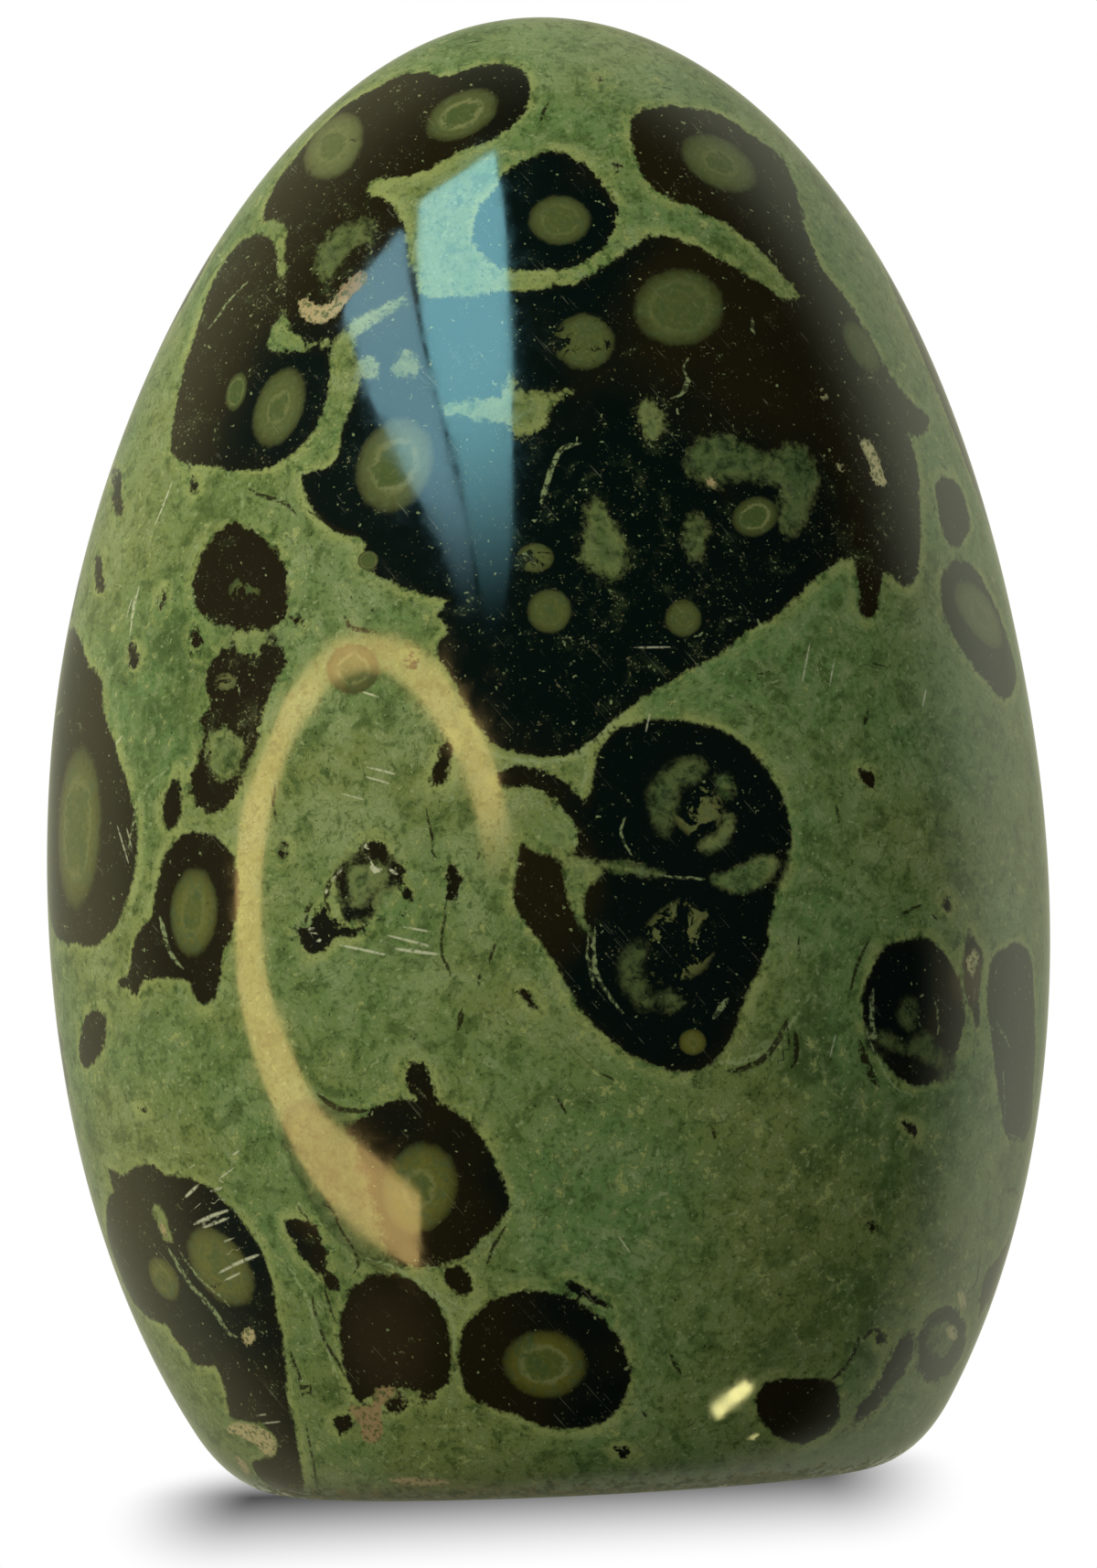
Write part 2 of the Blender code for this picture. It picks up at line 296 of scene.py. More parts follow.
# Green pieces inside the dark patches: raggedness, how dim the green is from 0 to 1, outline
GREEN_ISLANDS = seen_from("front", (
    (1.0, 0.55, (
        (-19.4, 28.2), (-17.2, 28.2), (-15.8, 26.8), (-15.0, 24.6), (-14.2, 22.0), (-13.6, 19.6),
        (-13.0, 17.4), (-14.6, 18.0), (-16.8, 20.2), (-18.4, 23.0), (-19.6, 26.0))),
    (0.5, 0.1, (
        (-18.9, 85.3), (-17.7, 87.9), (-17.2, 86.8), (-16.2, 85.7), (-14.2, 85.6), (-14.2, 85.1),
        (-16.4, 85.1))),
    (0.3, 0.1, (
        (-22.7, 93.2), (-20.6, 94.2), (-19.1, 94.5), (-17.7, 94.7), (-17.1, 94.0), (-17.4, 92.2),
        (-17.3, 90.7), (-17.8, 90.4), (-17.9, 92.2), (-18.3, 93.6), (-19.5, 93.7), (-21.0, 93.2),
        (-22.3, 92.4))),
    (1.0, 0.7, (
        (-14.5, 92.8), (-13.5, 93.8), (-12.0, 94.3), (-10.7, 94.1), (-10.9, 93.0), (-12.5, 92.3),
        (-13.6, 90.9), (-14.6, 90.2), (-15.0, 91.3))),
    (0.5, 0.1, ((-12.8, 86.5), (-10.6, 87.2), (-8.6, 88.6), (-9.4, 88.5), (-11.2, 87.6), (-12.6, 87.2))),
    (0.8, 0.2, ((-12.2, 84.2), (-11.0, 84.2), (-10.8, 83.0), (-12.0, 83.0))),
    (0.8, 0.2, ((-9.7, 83.8), (-8.4, 84.6), (-7.6, 83.4), (-8.6, 82.6), (-9.8, 82.8))),
    (0.8, 0.2, (
        (-6.4, 80.2), (-4.2, 80.9), (-2.0, 80.9), (-1.4, 81.6), (-0.9, 82.4), (-0.5, 81.4), (1.2, 80.9),
        (3.6, 81.0), (2.2, 80.2), (1.6, 79.0), (0.4, 78.0), (-0.8, 77.8), (-1.6, 78.8), (-3.6, 79.4),
        (-5.2, 79.6))),
    (0.5, 0.4, ((4.2, 46.0), (5.6, 45.9), (7.2, 45.4), (8.6, 44.9), (8.0, 44.8), (6.2, 45.0), (4.6, 45.2))),
    (0.3, 0.45, (
        (12.2, 44.5), (13.2, 44.7), (14.4, 45.2), (15.8, 45.8), (17.2, 45.7), (17.0, 44.7), (15.8, 43.7),
        (14.2, 43.3), (12.7, 43.8))),
    (0.5, 0.2, (
        (1.4, 46.3), (3.0, 46.2), (4.4, 45.9), (4.0, 45.0), (3.2, 44.4), (2.6, 43.4), (2.7, 42.0),
        (3.1, 40.8), (2.5, 40.8), (1.7, 42.6), (1.3, 44.8))),
    # crescents of the two broken eyes
    (0.35, 0.8, (
        (9.0, 52.5), (10.3, 53.2), (11.6, 53.3), (12.1, 52.6), (11.1, 51.6), (10.2, 51.3), (9.8, 50.4),
        (9.7, 49.2), (9.3, 48.3), (8.9, 47.7), (8.3, 48.4), (7.9, 49.5), (7.9, 50.7), (8.2, 51.7))),
    (0.4, 0.5, (
        (13.3, 49.3), (13.9, 48.8), (13.9, 47.9), (13.3, 47.0), (12.2, 46.3), (11.4, 46.5), (11.8, 47.2),
        (12.8, 47.8), (13.3, 48.5))),
    (0.8, 0.6, ((13.0, 51.8), (13.7, 51.9), (14.1, 51.1), (13.8, 50.4), (13.1, 50.7))),
    (0.35, 0.9, (
        (5.6, 39.5), (6.9, 39.9), (7.0, 39.0), (6.6, 37.9), (6.9, 36.7), (7.5, 35.8), (7.3, 35.1),
        (6.4, 35.1), (5.7, 36.1), (5.2, 37.3), (5.2, 38.6))),
    (0.8, 0.7, ((8.0, 36.0), (9.2, 36.0), (9.4, 35.2), (8.6, 34.7), (8.0, 35.2))),
    (1.0, 0.2, ((-22.8, 64.3), (-21.0, 64.4), (-19.8, 63.8), (-20.6, 62.8), (-21.8, 62.6))),
    (1.0, 0.3, ((-24.6, 56.6), (-23.4, 57.2), (-22.2, 56.2), (-22.6, 54.2), (-23.8, 53.4), (-24.6, 54.8))),
    (0.7, 0.5, (
        (-14.7, 46.4), (-14.1, 46.7), (-13.3, 46.7), (-12.3, 46.5), (-11.9, 46.1), (-12.0, 45.4),
        (-12.5, 45.0), (-13.1, 44.8), (-13.3, 44.1), (-13.4, 43.6), (-14.1, 43.5), (-14.6, 43.7),
        (-14.7, 44.7), (-14.8, 45.6))),
    (0.3, 0.9, (
        (25.9, 34.4), (26.3, 34.8), (26.8, 34.6), (26.9, 33.6), (26.7, 32.5), (26.3, 32.4), (25.9, 32.9),
        (25.7, 33.6))),
    (0.4, 0.8, (
        (24.1, 32.3), (25.3, 31.8), (26.5, 31.6), (27.4, 32.2), (28.0, 31.8), (28.7, 30.7), (29.0, 29.5),
        (28.4, 29.5), (27.4, 30.1), (26.1, 30.9), (24.8, 31.2), (24.1, 31.6))),
    (0.3, 0.1, (
        (-30.4, 22.0), (-30.0, 22.2), (-29.6, 21.5), (-29.4, 20.6), (-29.1, 19.6), (-29.2, 19.2),
        (-29.8, 19.7), (-30.2, 20.8), (-30.5, 21.5))),
    (0.8, 0.4, ((26.9, 10.4), (28.2, 10.6), (28.4, 8.8), (27.4, 8.0), (26.6, 8.8))),
    # dim green cloud round the eye at the right of the great patch
    (0.9, 0.75, (
        (12.2, 76.4), (14.0, 77.3), (16.2, 76.6), (17.6, 75.6), (19.4, 76.2), (20.9, 75.6), (21.4, 73.6),
        (20.6, 71.2), (19.0, 69.4), (18.4, 71.0), (18.8, 72.8), (17.6, 73.8), (15.6, 73.9), (13.6, 73.6),
        (12.0, 74.6))),
    (1.0, 0.7, ((11.8, 71.4), (12.8, 71.2), (13.0, 69.6), (12.4, 68.0), (11.6, 68.6), (11.4, 70.0))),
    (0.9, 0.6, (
        (4.4, 72.4), (5.4, 72.8), (5.9, 71.4), (6.7, 70.0), (6.9, 68.0), (6.0, 66.9), (4.8, 67.4),
        (3.7, 68.8), (4.0, 70.6))),
    (1.0, 0.5, ((8.4, 79.6), (9.6, 79.8), (10.2, 78.4), (9.4, 77.0), (8.6, 77.8))),
)) + seen_from("back", (
    (0.8, 0.3, ((-11.0, 86.5), (-8.0, 88.0), (-6.5, 84.5), (-9.5, 83.0))),
    (0.9, 0.6, ((-12.0, 76.0), (-9.5, 78.0), (-9.0, 73.5), (-6.0, 71.0), (-9.0, 70.0), (-12.5, 72.0))),
    (0.8, 0.3, ((15.5, 31.0), (18.0, 32.5), (19.0, 30.0), (16.5, 28.5))),
    (0.9, 0.6, ((22.5, 18.5), (25.5, 18.5), (25.0, 15.5), (23.0, 16.0))),
))

# Eyes: across, up, half width, half height, tilt in degrees, reach of the dark ring as a multiple of
# the half size (0 for none), core size, how broken it is, tone from -1 tan to 1 pale, strength of its
# ring line
EYES = seen_from("front", (
    (-3.7, 102.0, 2.9, 1.65, 24.0, 0.0, 0.55, 0.0, 0.35, 0.9),
    (-13.4, 100.2, 2.8, 1.7, 50.0, 0.0, 0.5, 0.15, 0.8, 0.5),
    (3.2, 93.8, 2.35, 1.85, -4.0, 0.0, 0.6, 0.0, 0.2, 0.15),
    (15.3, 97.5, 3.1, 1.75, -34.0, 0.0, 0.45, 0.0, 0.4, 0.4),
    (-18.3, 80.9, 3.1, 1.75, 66.0, 0.0, 0.4, 0.0, 0.35, 0.5),
    (-21.4, 82.2, 1.5, 0.75, 72.0, 0.0, 0.7, 0.3, 0.0, 0.7),
    (-9.9, 76.2, 3.6, 2.75, 66.0, 0.0, 0.55, 0.0, 0.5, 0.8),
    (11.8, 86.9, 3.35, 2.85, 0.0, 0.0, 0.68, 0.0, 0.2, 0.2),
    (4.6, 84.7, 2.3, 2.1, 0.0, 0.0, 0.3, 0.4, 0.2, 0.0),
    (16.7, 71.1, 1.75, 1.45, 20.0, 0.0, 0.62, 0.15, 0.1, 1.0),
    (1.1, 64.8, 1.65, 1.65, 0.0, 0.0, 0.3, 0.2, 0.2, 0.0),
    (11.0, 63.8, 1.35, 1.4, 0.0, 0.0, 0.4, 0.2, 0.2, 0.1),
    (0.2, 68.8, 1.4, 1.1, 0.0, 0.0, 0.3, 0.45, 0.3, 0.0),
    (25.2, 83.3, 2.2, 0.95, -62.0, 0.0, 0.4, 0.2, 0.2, 0.1),
    (-12.2, 69.2, 0.8, 0.75, 0.0, 0.0, 0.8, 0.2, 0.1, 0.6),
    (-21.5, 67.4, 1.2, 1.1, 0.0, 0.0, 0.5, 0.85, 0.1, 0.0),
    (-23.2, 60.7, 0.9, 0.7, 0.0, 0.0, 0.5, 0.6, 0.9, 0.0),
    (-26.4, 43.7, 3.3, 1.75, 84.0, 0.0, 0.5, 0.0, 0.45, 0.3),
    (-25.7, 17.3, 3.4, 1.9, -57.0, 0.0, 0.4, 0.2, 0.6, 0.15),
    (-29.9, 16.6, 1.75, 0.95, -66.0, 0.0, 0.5, 0.0, 0.2, 0.3),
    (-10.6, 22.4, 3.4, 2.75, 72.0, 0.0, 0.4, 0.0, 0.35, 0.6),
    (-1.9, 8.9, 3.1, 2.5, -8.0, 0.0, 0.55, 0.0, 0.0, 0.7),
    (11.4, 49.6, 1.9, 2.1, 0.0, 0.0, 0.3, 0.62, 0.9, 0.0),
    (9.6, 39.8, 3.3, 2.7, 56.0, 0.0, 0.3, 0.78, 0.9, 0.0),
    (10.2, 32.3, 1.05, 1.0, 0.0, 0.0, 0.4, 0.0, 0.2, 0.2),
    (33.1, 63.0, 2.9, 1.15, -62.0, 0.0, 0.4, 0.0, 0.6, 0.3),
    (-13.7, 61.2, 2.0, 1.9, 0.0, 0.0, 0.55, 0.15, -0.15, 1.0),
)) + seen_from("right", (
    (2.0, 80.5, 3.6, 2.6, 70.0, 0.0, 0.5, 0.0, 0.3, 0.6),
    (9.5, 44.0, 3.2, 3.8, 0.0, 1.9, 0.5, 0.0, 0.4, 0.4),
    (15.0, 62.5, 2.8, 2.4, 20.0, 2.1, 0.6, 0.1, 0.2, 0.7),
    (0.5, 12.5, 2.6, 2.2, 10.0, 2.0, 0.4, 0.2, 0.5, 0.2),
    (14.5, 23.0, 2.4, 3.2, 10.0, 0.0, 0.5, 0.0, 0.3, 0.5),
    (1.0, 55.5, 1.2, 1.3, 0.0, 2.3, 0.5, 0.3, 0.2, 0.2),
)) + seen_from("back", (
    (-8.0, 93.0, 3.4, 2.4, 20.0, 0.0, 0.5, 0.0, 0.4, 0.8),
    (-0.5, 90.5, 1.7, 1.5, 0.0, 0.0, 0.6, 0.2, 0.1, 0.2),
    (-16.5, 84.0, 3.0, 3.4, 0.0, 0.0, 0.6, 0.0, 0.3, 0.4),
    (-3.5, 77.5, 3.6, 3.1, -10.0, 0.0, 0.5, 0.0, 0.3, 0.7),
    (-20.5, 73.0, 3.4, 2.8, 30.0, 0.0, 0.4, 0.35, 0.6, 0.3),
    (-13.5, 66.0, 1.8, 1.6, 0.0, 0.0, 0.5, 0.2, 0.2, 0.1),
    (-17.5, 60.0, 2.2, 1.9, 0.0, 0.0, 0.5, 0.5, 0.4, 0.0),
    (13.5, 38.0, 4.0, 3.2, -20.0, 0.0, 0.5, 0.0, 0.3, 0.8),
    (22.0, 24.5, 3.4, 4.0, 10.0, 0.0, 0.5, 0.0, 0.5, 0.4),
    (11.5, 24.0, 2.2, 2.0, 0.0, 0.0, 0.4, 0.3, 0.2, 0.1),
    (20.5, 12.0, 2.2, 1.9, 0.0, 0.0, 0.5, 0.1, 0.1, 0.5),
    (19.0, 84.0, 3.4, 2.6, -55.0, 2.0, 0.5, 0.0, 0.4, 0.6),
    (25.0, 61.5, 2.6, 3.6, 8.0, 1.9, 0.6, 0.0, 0.3, 0.3),
    (11.5, 64.5, 2.2, 2.4, 0.0, 2.2, 0.5, 0.2, 0.2, 0.7),
    (-12.0, 38.0, 3.8, 3.2, 30.0, 1.9, 0.5, 0.0, 0.5, 0.5),
    (-27.5, 43.0, 1.9, 2.9, -6.0, 2.1, 0.5, 0.1, 0.3, 0.3),
    (-22.0, 19.0, 3.2, 2.8, 20.0, 2.0, 0.6, 0.0, 0.2, 0.6),
    (-6.0, 17.0, 2.4, 2.1, 0.0, 2.2, 0.4, 0.3, 0.6, 0.1),
    (-11.5, 5.0, 1.4, 1.1, 0.0, 2.2, 0.5, 0.4, 0.3, 0.0),
    (32.5, 46.0, 1.4, 2.8, -6.0, 2.1, 0.5, 0.0, 0.2, 0.3),
    (10.5, 101.0, 2.4, 1.4, -25.0, 2.1, 0.5, 0.0, 0.3, 0.4),
)) + seen_from("left", (
    (8.1, 50.3, 3.1, 6.2, 0.0, 0.0, 0.6, 0.0, 0.4, 0.4),
    (-6.0, 86.0, 2.2, 3.4, -15.0, 0.0, 0.5, 0.0, 0.4, 0.6),
    (-11.0, 66.0, 2.4, 3.2, -6.0, 2.1, 0.5, 0.0, 0.4, 0.4),
    (-14.5, 40.0, 2.2, 3.2, 6.0, 2.0, 0.6, 0.0, 0.2, 0.6),
    (-3.0, 31.5, 2.0, 2.4, 0.0, 2.1, 0.4, 0.2, 0.5, 0.2),
    (-12.5, 18.0, 2.6, 2.4, 0.0, 2.0, 0.5, 0.1, 0.3, 0.5),
    (0.0, 68.0, 1.1, 1.2, 0.0, 2.4, 0.5, 0.5, 0.2, 0.0),
))

# Pale and tan crusts: tone from 0 cream to 1 pinkish tan, outline
CRUSTS = seen_from("front", (
    (0.55, (
        (-16.5, 88.9), (-16.2, 87.3), (-15.0, 86.9), (-13.8, 87.4), (-12.8, 88.6), (-13.6, 88.9),
        (-14.8, 88.2), (-15.8, 88.9))),
    (1.0, ((-13.8, 88.2), (-12.8, 88.5), (-11.2, 90.2), (-11.5, 90.8), (-12.6, 90.2), (-13.6, 89.2))),
    (0.0, (
        (24.7, 76.2), (25.4, 76.4), (26.0, 75.2), (26.4, 74.0), (26.6, 73.0), (25.9, 72.9), (25.4, 73.6),
        (25.3, 74.8))),
    (0.1, ((22.9, 74.8), (23.2, 74.8), (23.5, 74.0), (23.2, 73.8))),
    (0.1, ((21.6, 80.7), (22.0, 80.5), (22.5, 79.7), (22.1, 79.6))),
    (0.6, ((13.1, 74.0), (13.7, 74.2), (14.0, 73.6), (13.5, 73.3))),
    (0.35, (
        (-25.8, 5.3), (-25.1, 5.7), (-24.2, 5.6), (-23.1, 5.2), (-22.3, 4.5), (-22.1, 3.7), (-22.4, 3.0),
        (-23.2, 3.3), (-23.6, 4.0), (-24.3, 4.3), (-24.9, 4.7), (-25.6, 4.9))),
    (0.4, ((-25.2, 3.4), (-24.4, 2.6), (-24.1, 2.0), (-24.4, 1.6), (-25.0, 2.5))),
    (0.4, ((-24.1, 12.6), (-23.4, 12.6), (-23.3, 11.8), (-23.8, 11.3), (-24.3, 11.8))),
    (0.6, ((-30.1, 20.8), (-29.7, 20.7), (-29.4, 20.0), (-29.3, 19.4), (-29.6, 19.6), (-29.9, 20.1))),
    (0.1, (
        (31.4, 38.4), (31.7, 37.9), (31.8, 37.5), (31.5, 36.9), (31.3, 36.2), (31.0, 36.3), (30.7, 37.5),
        (30.9, 37.7), (31.1, 37.6))),
    (0.15, ((28.0, 10.3), (28.7, 10.3), (28.9, 9.4), (28.2, 9.3))),
    (0.15, ((28.9, 12.8), (29.4, 13.0), (29.7, 11.8), (29.2, 11.5))),
    (0.9, (
        (-14.5, 7.7), (-13.2, 7.8), (-13.0, 7.2), (-13.9, 6.7), (-14.2, 5.8), (-14.1, 4.4), (-14.8, 3.6),
        (-15.7, 3.9), (-15.9, 5.1), (-16.7, 6.3), (-16.7, 6.8), (-15.8, 6.5), (-14.9, 6.4))),
    (0.5, ((-14.0, 0.9), (-13.0, 1.1), (-11.0, 0.9), (-9.0, 0.6), (-9.6, 0.3), (-11.3, 0.3), (-12.7, 0.4))),
))

# Thin pale lines and veins: half width, points
PALE_LINES = seen_from("front", (
    (0.12, ((8.4, 44.8), (10.2, 44.5), (11.8, 44.4))),
    (0.16, ((-20.0, 90.4), (-21.4, 89.2), (-22.8, 87.4), (-23.4, 86.8))),
    (0.14, ((12.4, 83.2), (11.8, 82.2), (12.3, 81.2), (11.6, 80.5), (10.8, 80.2))),
    (0.22, ((4.0, 77.2), (2.6, 76.8), (1.9, 75.8), (1.3, 74.2), (0.8, 72.6))),
    (0.12, ((6.0, 49.4), (5.6, 48.0), (6.4, 46.2))),
    (0.14, ((3.4, 41.2), (3.2, 39.2), (3.6, 37.2), (4.6, 35.4), (5.2, 34.6))),
    (0.12, ((3.1, 36.6), (2.7, 38.6), (2.8, 40.6))),
    (0.24, ((11.8, 34.0), (12.4, 34.8), (13.0, 35.4))),
    (0.28, ((12.0, 30.6), (14.0, 30.8), (15.8, 31.4), (17.0, 32.8), (18.2, 34.2))),
    (0.24, ((23.8, 35.7), (23.6, 34.7), (23.6, 33.7), (23.6, 32.7), (23.9, 31.7))),
    (0.14, (
        (23.0, 32.9), (23.3, 31.9), (23.7, 31.0), (24.2, 29.8), (24.7, 28.7), (25.6, 27.9), (26.6, 27.4))),
    (0.14, ((28.2, 34.9), (28.5, 34.0), (28.5, 32.8), (28.4, 31.8))),
    (0.22, ((-28.9, 43.6), (-28.6, 42.0), (-28.2, 40.6), (-27.4, 39.6))),
    (0.26, ((-29.5, 19.0), (-28.7, 17.4), (-27.6, 15.7), (-26.3, 14.1), (-25.3, 12.4), (-24.6, 12.0))),
    (0.14, ((-25.0, 14.2), (-25.6, 15.0), (-26.7, 16.0), (-27.8, 17.3), (-28.8, 18.9))),
    (0.16, ((-27.5, 54.6), (-29.2, 53.4), (-30.2, 52.0), (-30.6, 50.4), (-31.0, 48.6))),
    (0.2, ((-4.8, 54.9), (-2.4, 54.0), (0.2, 53.6), (2.4, 54.0), (4.2, 55.2), (6.2, 57.0))),
    (0.16, ((3.0, 54.0), (3.2, 52.6), (2.8, 51.4))),
    (0.18, ((-14.9, 17.4), (-13.0, 16.8), (-11.2, 15.6), (-9.8, 14.2), (-8.6, 12.4), (-8.6, 9.8))),
    (0.14, ((-10.8, 16.0), (-9.4, 14.4), (-7.4, 13.2), (-6.4, 13.6))),
    (0.2, ((-20.6, 17.2), (-19.2, 14.2), (-18.0, 11.0), (-17.2, 8.0))),
    (0.14, ((30.4, 35.9), (30.6, 34.4), (30.7, 33.4))),
    (0.14, ((32.1, 36.4), (32.0, 35.0), (31.9, 34.0))),
    (0.14, ((32.7, 32.9), (33.1, 32.2), (33.8, 30.7))),
    (0.1, ((33.2, 29.5), (33.1, 25.4))),
    (0.12, ((33.3, 24.4), (34.4, 23.8))),
    (0.14, ((17.2, 86.0), (17.1, 85.2), (17.3, 84.6))),
))

# Thin dark lines: half width, points
DARK_LINES = seen_from("front", (
    (0.2, ((-21.0, 75.0), (-19.4, 74.2), (-18.2, 73.8), (-17.4, 72.8))),
    (0.16, ((-16.6, 73.2), (-14.6, 71.8), (-12.6, 70.9))),
    (0.14, ((-19.9, 53.0), (-20.1, 51.4), (-19.9, 50.0))),
    (0.14, ((-8.7, 50.6), (-8.6, 49.2), (-8.4, 48.0), (-8.5, 47.3), (-8.0, 46.8))),
    (0.14, ((-7.5, 43.7), (-7.8, 42.2), (-8.1, 41.0), (-8.1, 40.0), (-7.8, 38.8), (-7.5, 38.0))),
    (0.2, ((-17.4, 44.1), (-17.9, 43.6), (-18.1, 42.9), (-18.1, 42.4))),
    (0.22, ((-14.9, 46.8), (-15.5, 46.3), (-16.0, 45.6), (-16.4, 44.9), (-16.5, 43.9), (-16.2, 43.1))),
    (0.16, ((-12.9, 42.4), (-12.1, 42.5))),
    (0.24, ((-6.8, 35.6), (-7.0, 34.8), (-7.2, 34.0))),
    (0.16, ((-4.0, 40.4), (-4.5, 39.4), (-4.6, 38.8))),
    (0.14, ((-5.3, 38.2), (-5.5, 37.2))),
    (0.16, ((-4.9, 47.2), (-5.1, 46.6))),
    (0.16, ((21.7, 49.4), (21.8, 48.0))),
    (0.12, ((18.5, 39.8), (18.4, 38.2))),
    (0.17, ((25.7, 41.0), (26.6, 41.3), (27.8, 41.7))),
    (0.14, ((28.3, 41.1), (28.9, 40.4))),
    (0.12, ((16.2, 59.3), (17.4, 59.6))),
    (0.12, ((24.8, 59.8), (26.0, 59.4))),
    (0.2, ((24.4, 56.4), (24.0, 55.2))),
    (0.17, ((23.8, 39.5), (23.1, 38.3), (22.6, 37.2), (22.2, 36.0), (21.9, 34.8))),
    (0.35, ((22.5, 31.8), (22.8, 30.9), (23.2, 29.5), (23.9, 28.3))),
    (0.3, ((12.6, 30.0), (14.4, 30.3), (15.8, 31.2), (16.8, 32.6), (17.4, 33.8))),
    (0.25, ((17.4, 30.0), (17.9, 31.2), (17.8, 32.8))),
    (0.12, ((-19.8, 21.7), (-19.3, 20.9), (-18.8, 20.3))),
    (0.18, ((-19.0, 15.1), (-18.8, 13.7), (-18.1, 11.4), (-17.2, 9.8), (-16.8, 8.6))),
    (0.15, ((-18.0, 21.6), (-17.1, 21.1), (-16.5, 19.5), (-15.7, 18.1), (-15.3, 17.0), (-15.8, 16.3))),
    (0.17, ((-20.8, 10.9), (-20.2, 9.0), (-20.0, 7.2))),
    (0.14, ((-19.4, 8.3), (-19.4, 7.2))),
    (0.14, ((-18.0, 15.5), (-17.7, 14.1), (-17.2, 12.7))),
    (0.14, ((-19.9, 5.4), (-19.4, 2.4), (-19.2, 0.2))),
    (0.15, ((-4.2, 19.4), (-5.2, 18.0), (-6.0, 16.2))),
    (0.15, ((-4.6, 16.1), (-3.6, 15.8))),
    (0.14, ((-0.2, 29.0), (0.6, 27.4))),
    (0.18, ((11.3, 26.0), (11.6, 25.0))),
    (0.13, ((3.2, 30.4), (4.4, 29.6))),
    (0.2, ((7.4, 9.3), (8.2, 7.7))),
    (0.15, ((5.0, 5.2), (5.7, 4.4))),
    (0.22, ((19.2, 6.7), (20.4, 7.6), (21.2, 9.0), (21.7, 10.2))),
    (0.2, ((21.9, 9.6), (22.6, 10.4), (23.4, 10.0))),
    (0.16, ((30.8, 15.6), (30.4, 13.4), (29.6, 12.6))),
    (0.22, ((26.2, 10.4), (27.0, 11.2), (28.4, 11.8))),
    (0.18, ((2.0, 101.0), (2.8, 102.6))),
    (0.25, ((-17.9, 29.8), (-16.8, 28.9), (-15.4, 28.4), (-14.0, 28.4))),
    (0.22, ((-14.2, 65.2), (-13.6, 64.2), (-12.4, 64.0), (-11.8, 63.9))),
    (0.12, ((11.0, 103.4), (12.2, 103.0))),
    (0.12, ((-3.4, 107.2), (-1.6, 107.4))),
))

# Fine scratches in the polish, and painted glints in the pits: half width, points
SCRATCHES_AND_GLINTS = seen_from("front", (
    (0.1, ((-26.4, 75.9), (-27.2, 74.0), (-28.0, 72.4))),
    (0.1, ((-29.2, 68.4), (-29.8, 66.2), (-30.2, 64.2))),
    (0.08, ((-30.4, 65.6), (-29.8, 67.4))),
    (0.1, ((-31.0, 57.1), (-31.7, 56.3))),
    (0.09, ((-13.1, 53.9), (-10.8, 53.2))),
    (0.08, ((-11.2, 52.5), (-13.3, 53.2))),
    (0.07, ((-15.0, 52.0), (-13.2, 51.4))),
    (0.11, ((-15.8, 40.8), (-12.0, 39.8))),
    (0.1, ((-9.0, 40.4), (-12.1, 41.3))),
    (0.14, ((-11.7, 40.3), (-8.3, 39.7))),
    (0.09, ((-11.0, 41.9), (-8.8, 41.4))),
    (0.08, ((-13.2, 59.5), (-11.8, 59.0))),
    (0.08, ((20.3, 61.5), (19.6, 58.6))),
    (0.08, ((22.1, 60.4), (21.6, 58.2))),
    (0.1, ((28.8, 57.8), (28.4, 56.2))),
    (0.1, ((-24.4, 25.5), (-23.7, 25.9))),
    (0.08, ((-27.6, 24.7), (-27.1, 25.0))),
    (0.07, ((-25.6, 23.7), (-24.1, 24.7))),
    (0.14, ((-28.1, 22.5), (-26.9, 23.5))),
    (0.12, ((-26.2, 22.9), (-25.1, 23.2))),
    (0.15, ((-27.5, 20.5), (-26.1, 21.1), (-24.7, 21.5))),
    (0.12, ((-24.8, 20.9), (-26.9, 20.2))),
    (0.08, ((-25.4, 19.1), (-24.5, 19.4))),
    (0.15, ((-25.8, 16.8), (-24.6, 17.4), (-22.6, 18.1))),
    (0.1, ((-24.1, 16.8), (-25.5, 16.2))),
    (0.08, ((-23.1, 5.5), (-21.6, 5.6))),
    (0.08, ((-22.6, 6.2), (-23.6, 6.1))),
    (0.07, ((4.0, 18.2), (4.9, 16.8))),
    (0.08, ((-31.8, 50.6), (-31.0, 47.4))),
    (0.07, ((-30.7, 48.4), (-31.1, 50.4))),
    (0.07, ((8.2, 57.0), (7.8, 55.4))),
    (0.07, ((7.2, 61.8), (10.0, 61.7))),
    (0.07, ((20.9, 32.5), (20.3, 30.6))),
    # painted glints in the pits, drawn as short pale strokes
    (0.16, ((-16.0, 45.5), (-15.7, 45.9))),
    (0.16, ((-15.5, 46.1), (-15.2, 46.5))),
    (0.16, ((-16.5, 44.6), (-16.4, 45.0))),
    (0.18, ((-17.9, 42.0), (-17.5, 42.1))),
    (0.15, ((-17.4, 41.1), (-17.0, 41.2))),
    (0.15, ((-13.5, 47.8), (-13.3, 48.2))),
    (0.15, ((-13.6, 47.2), (-13.2, 47.2))),
    (0.2, ((-11.7, 46.2), (-11.1, 45.8))),
    (0.3, ((-13.1, 46.3), (-12.4, 46.1))),
))

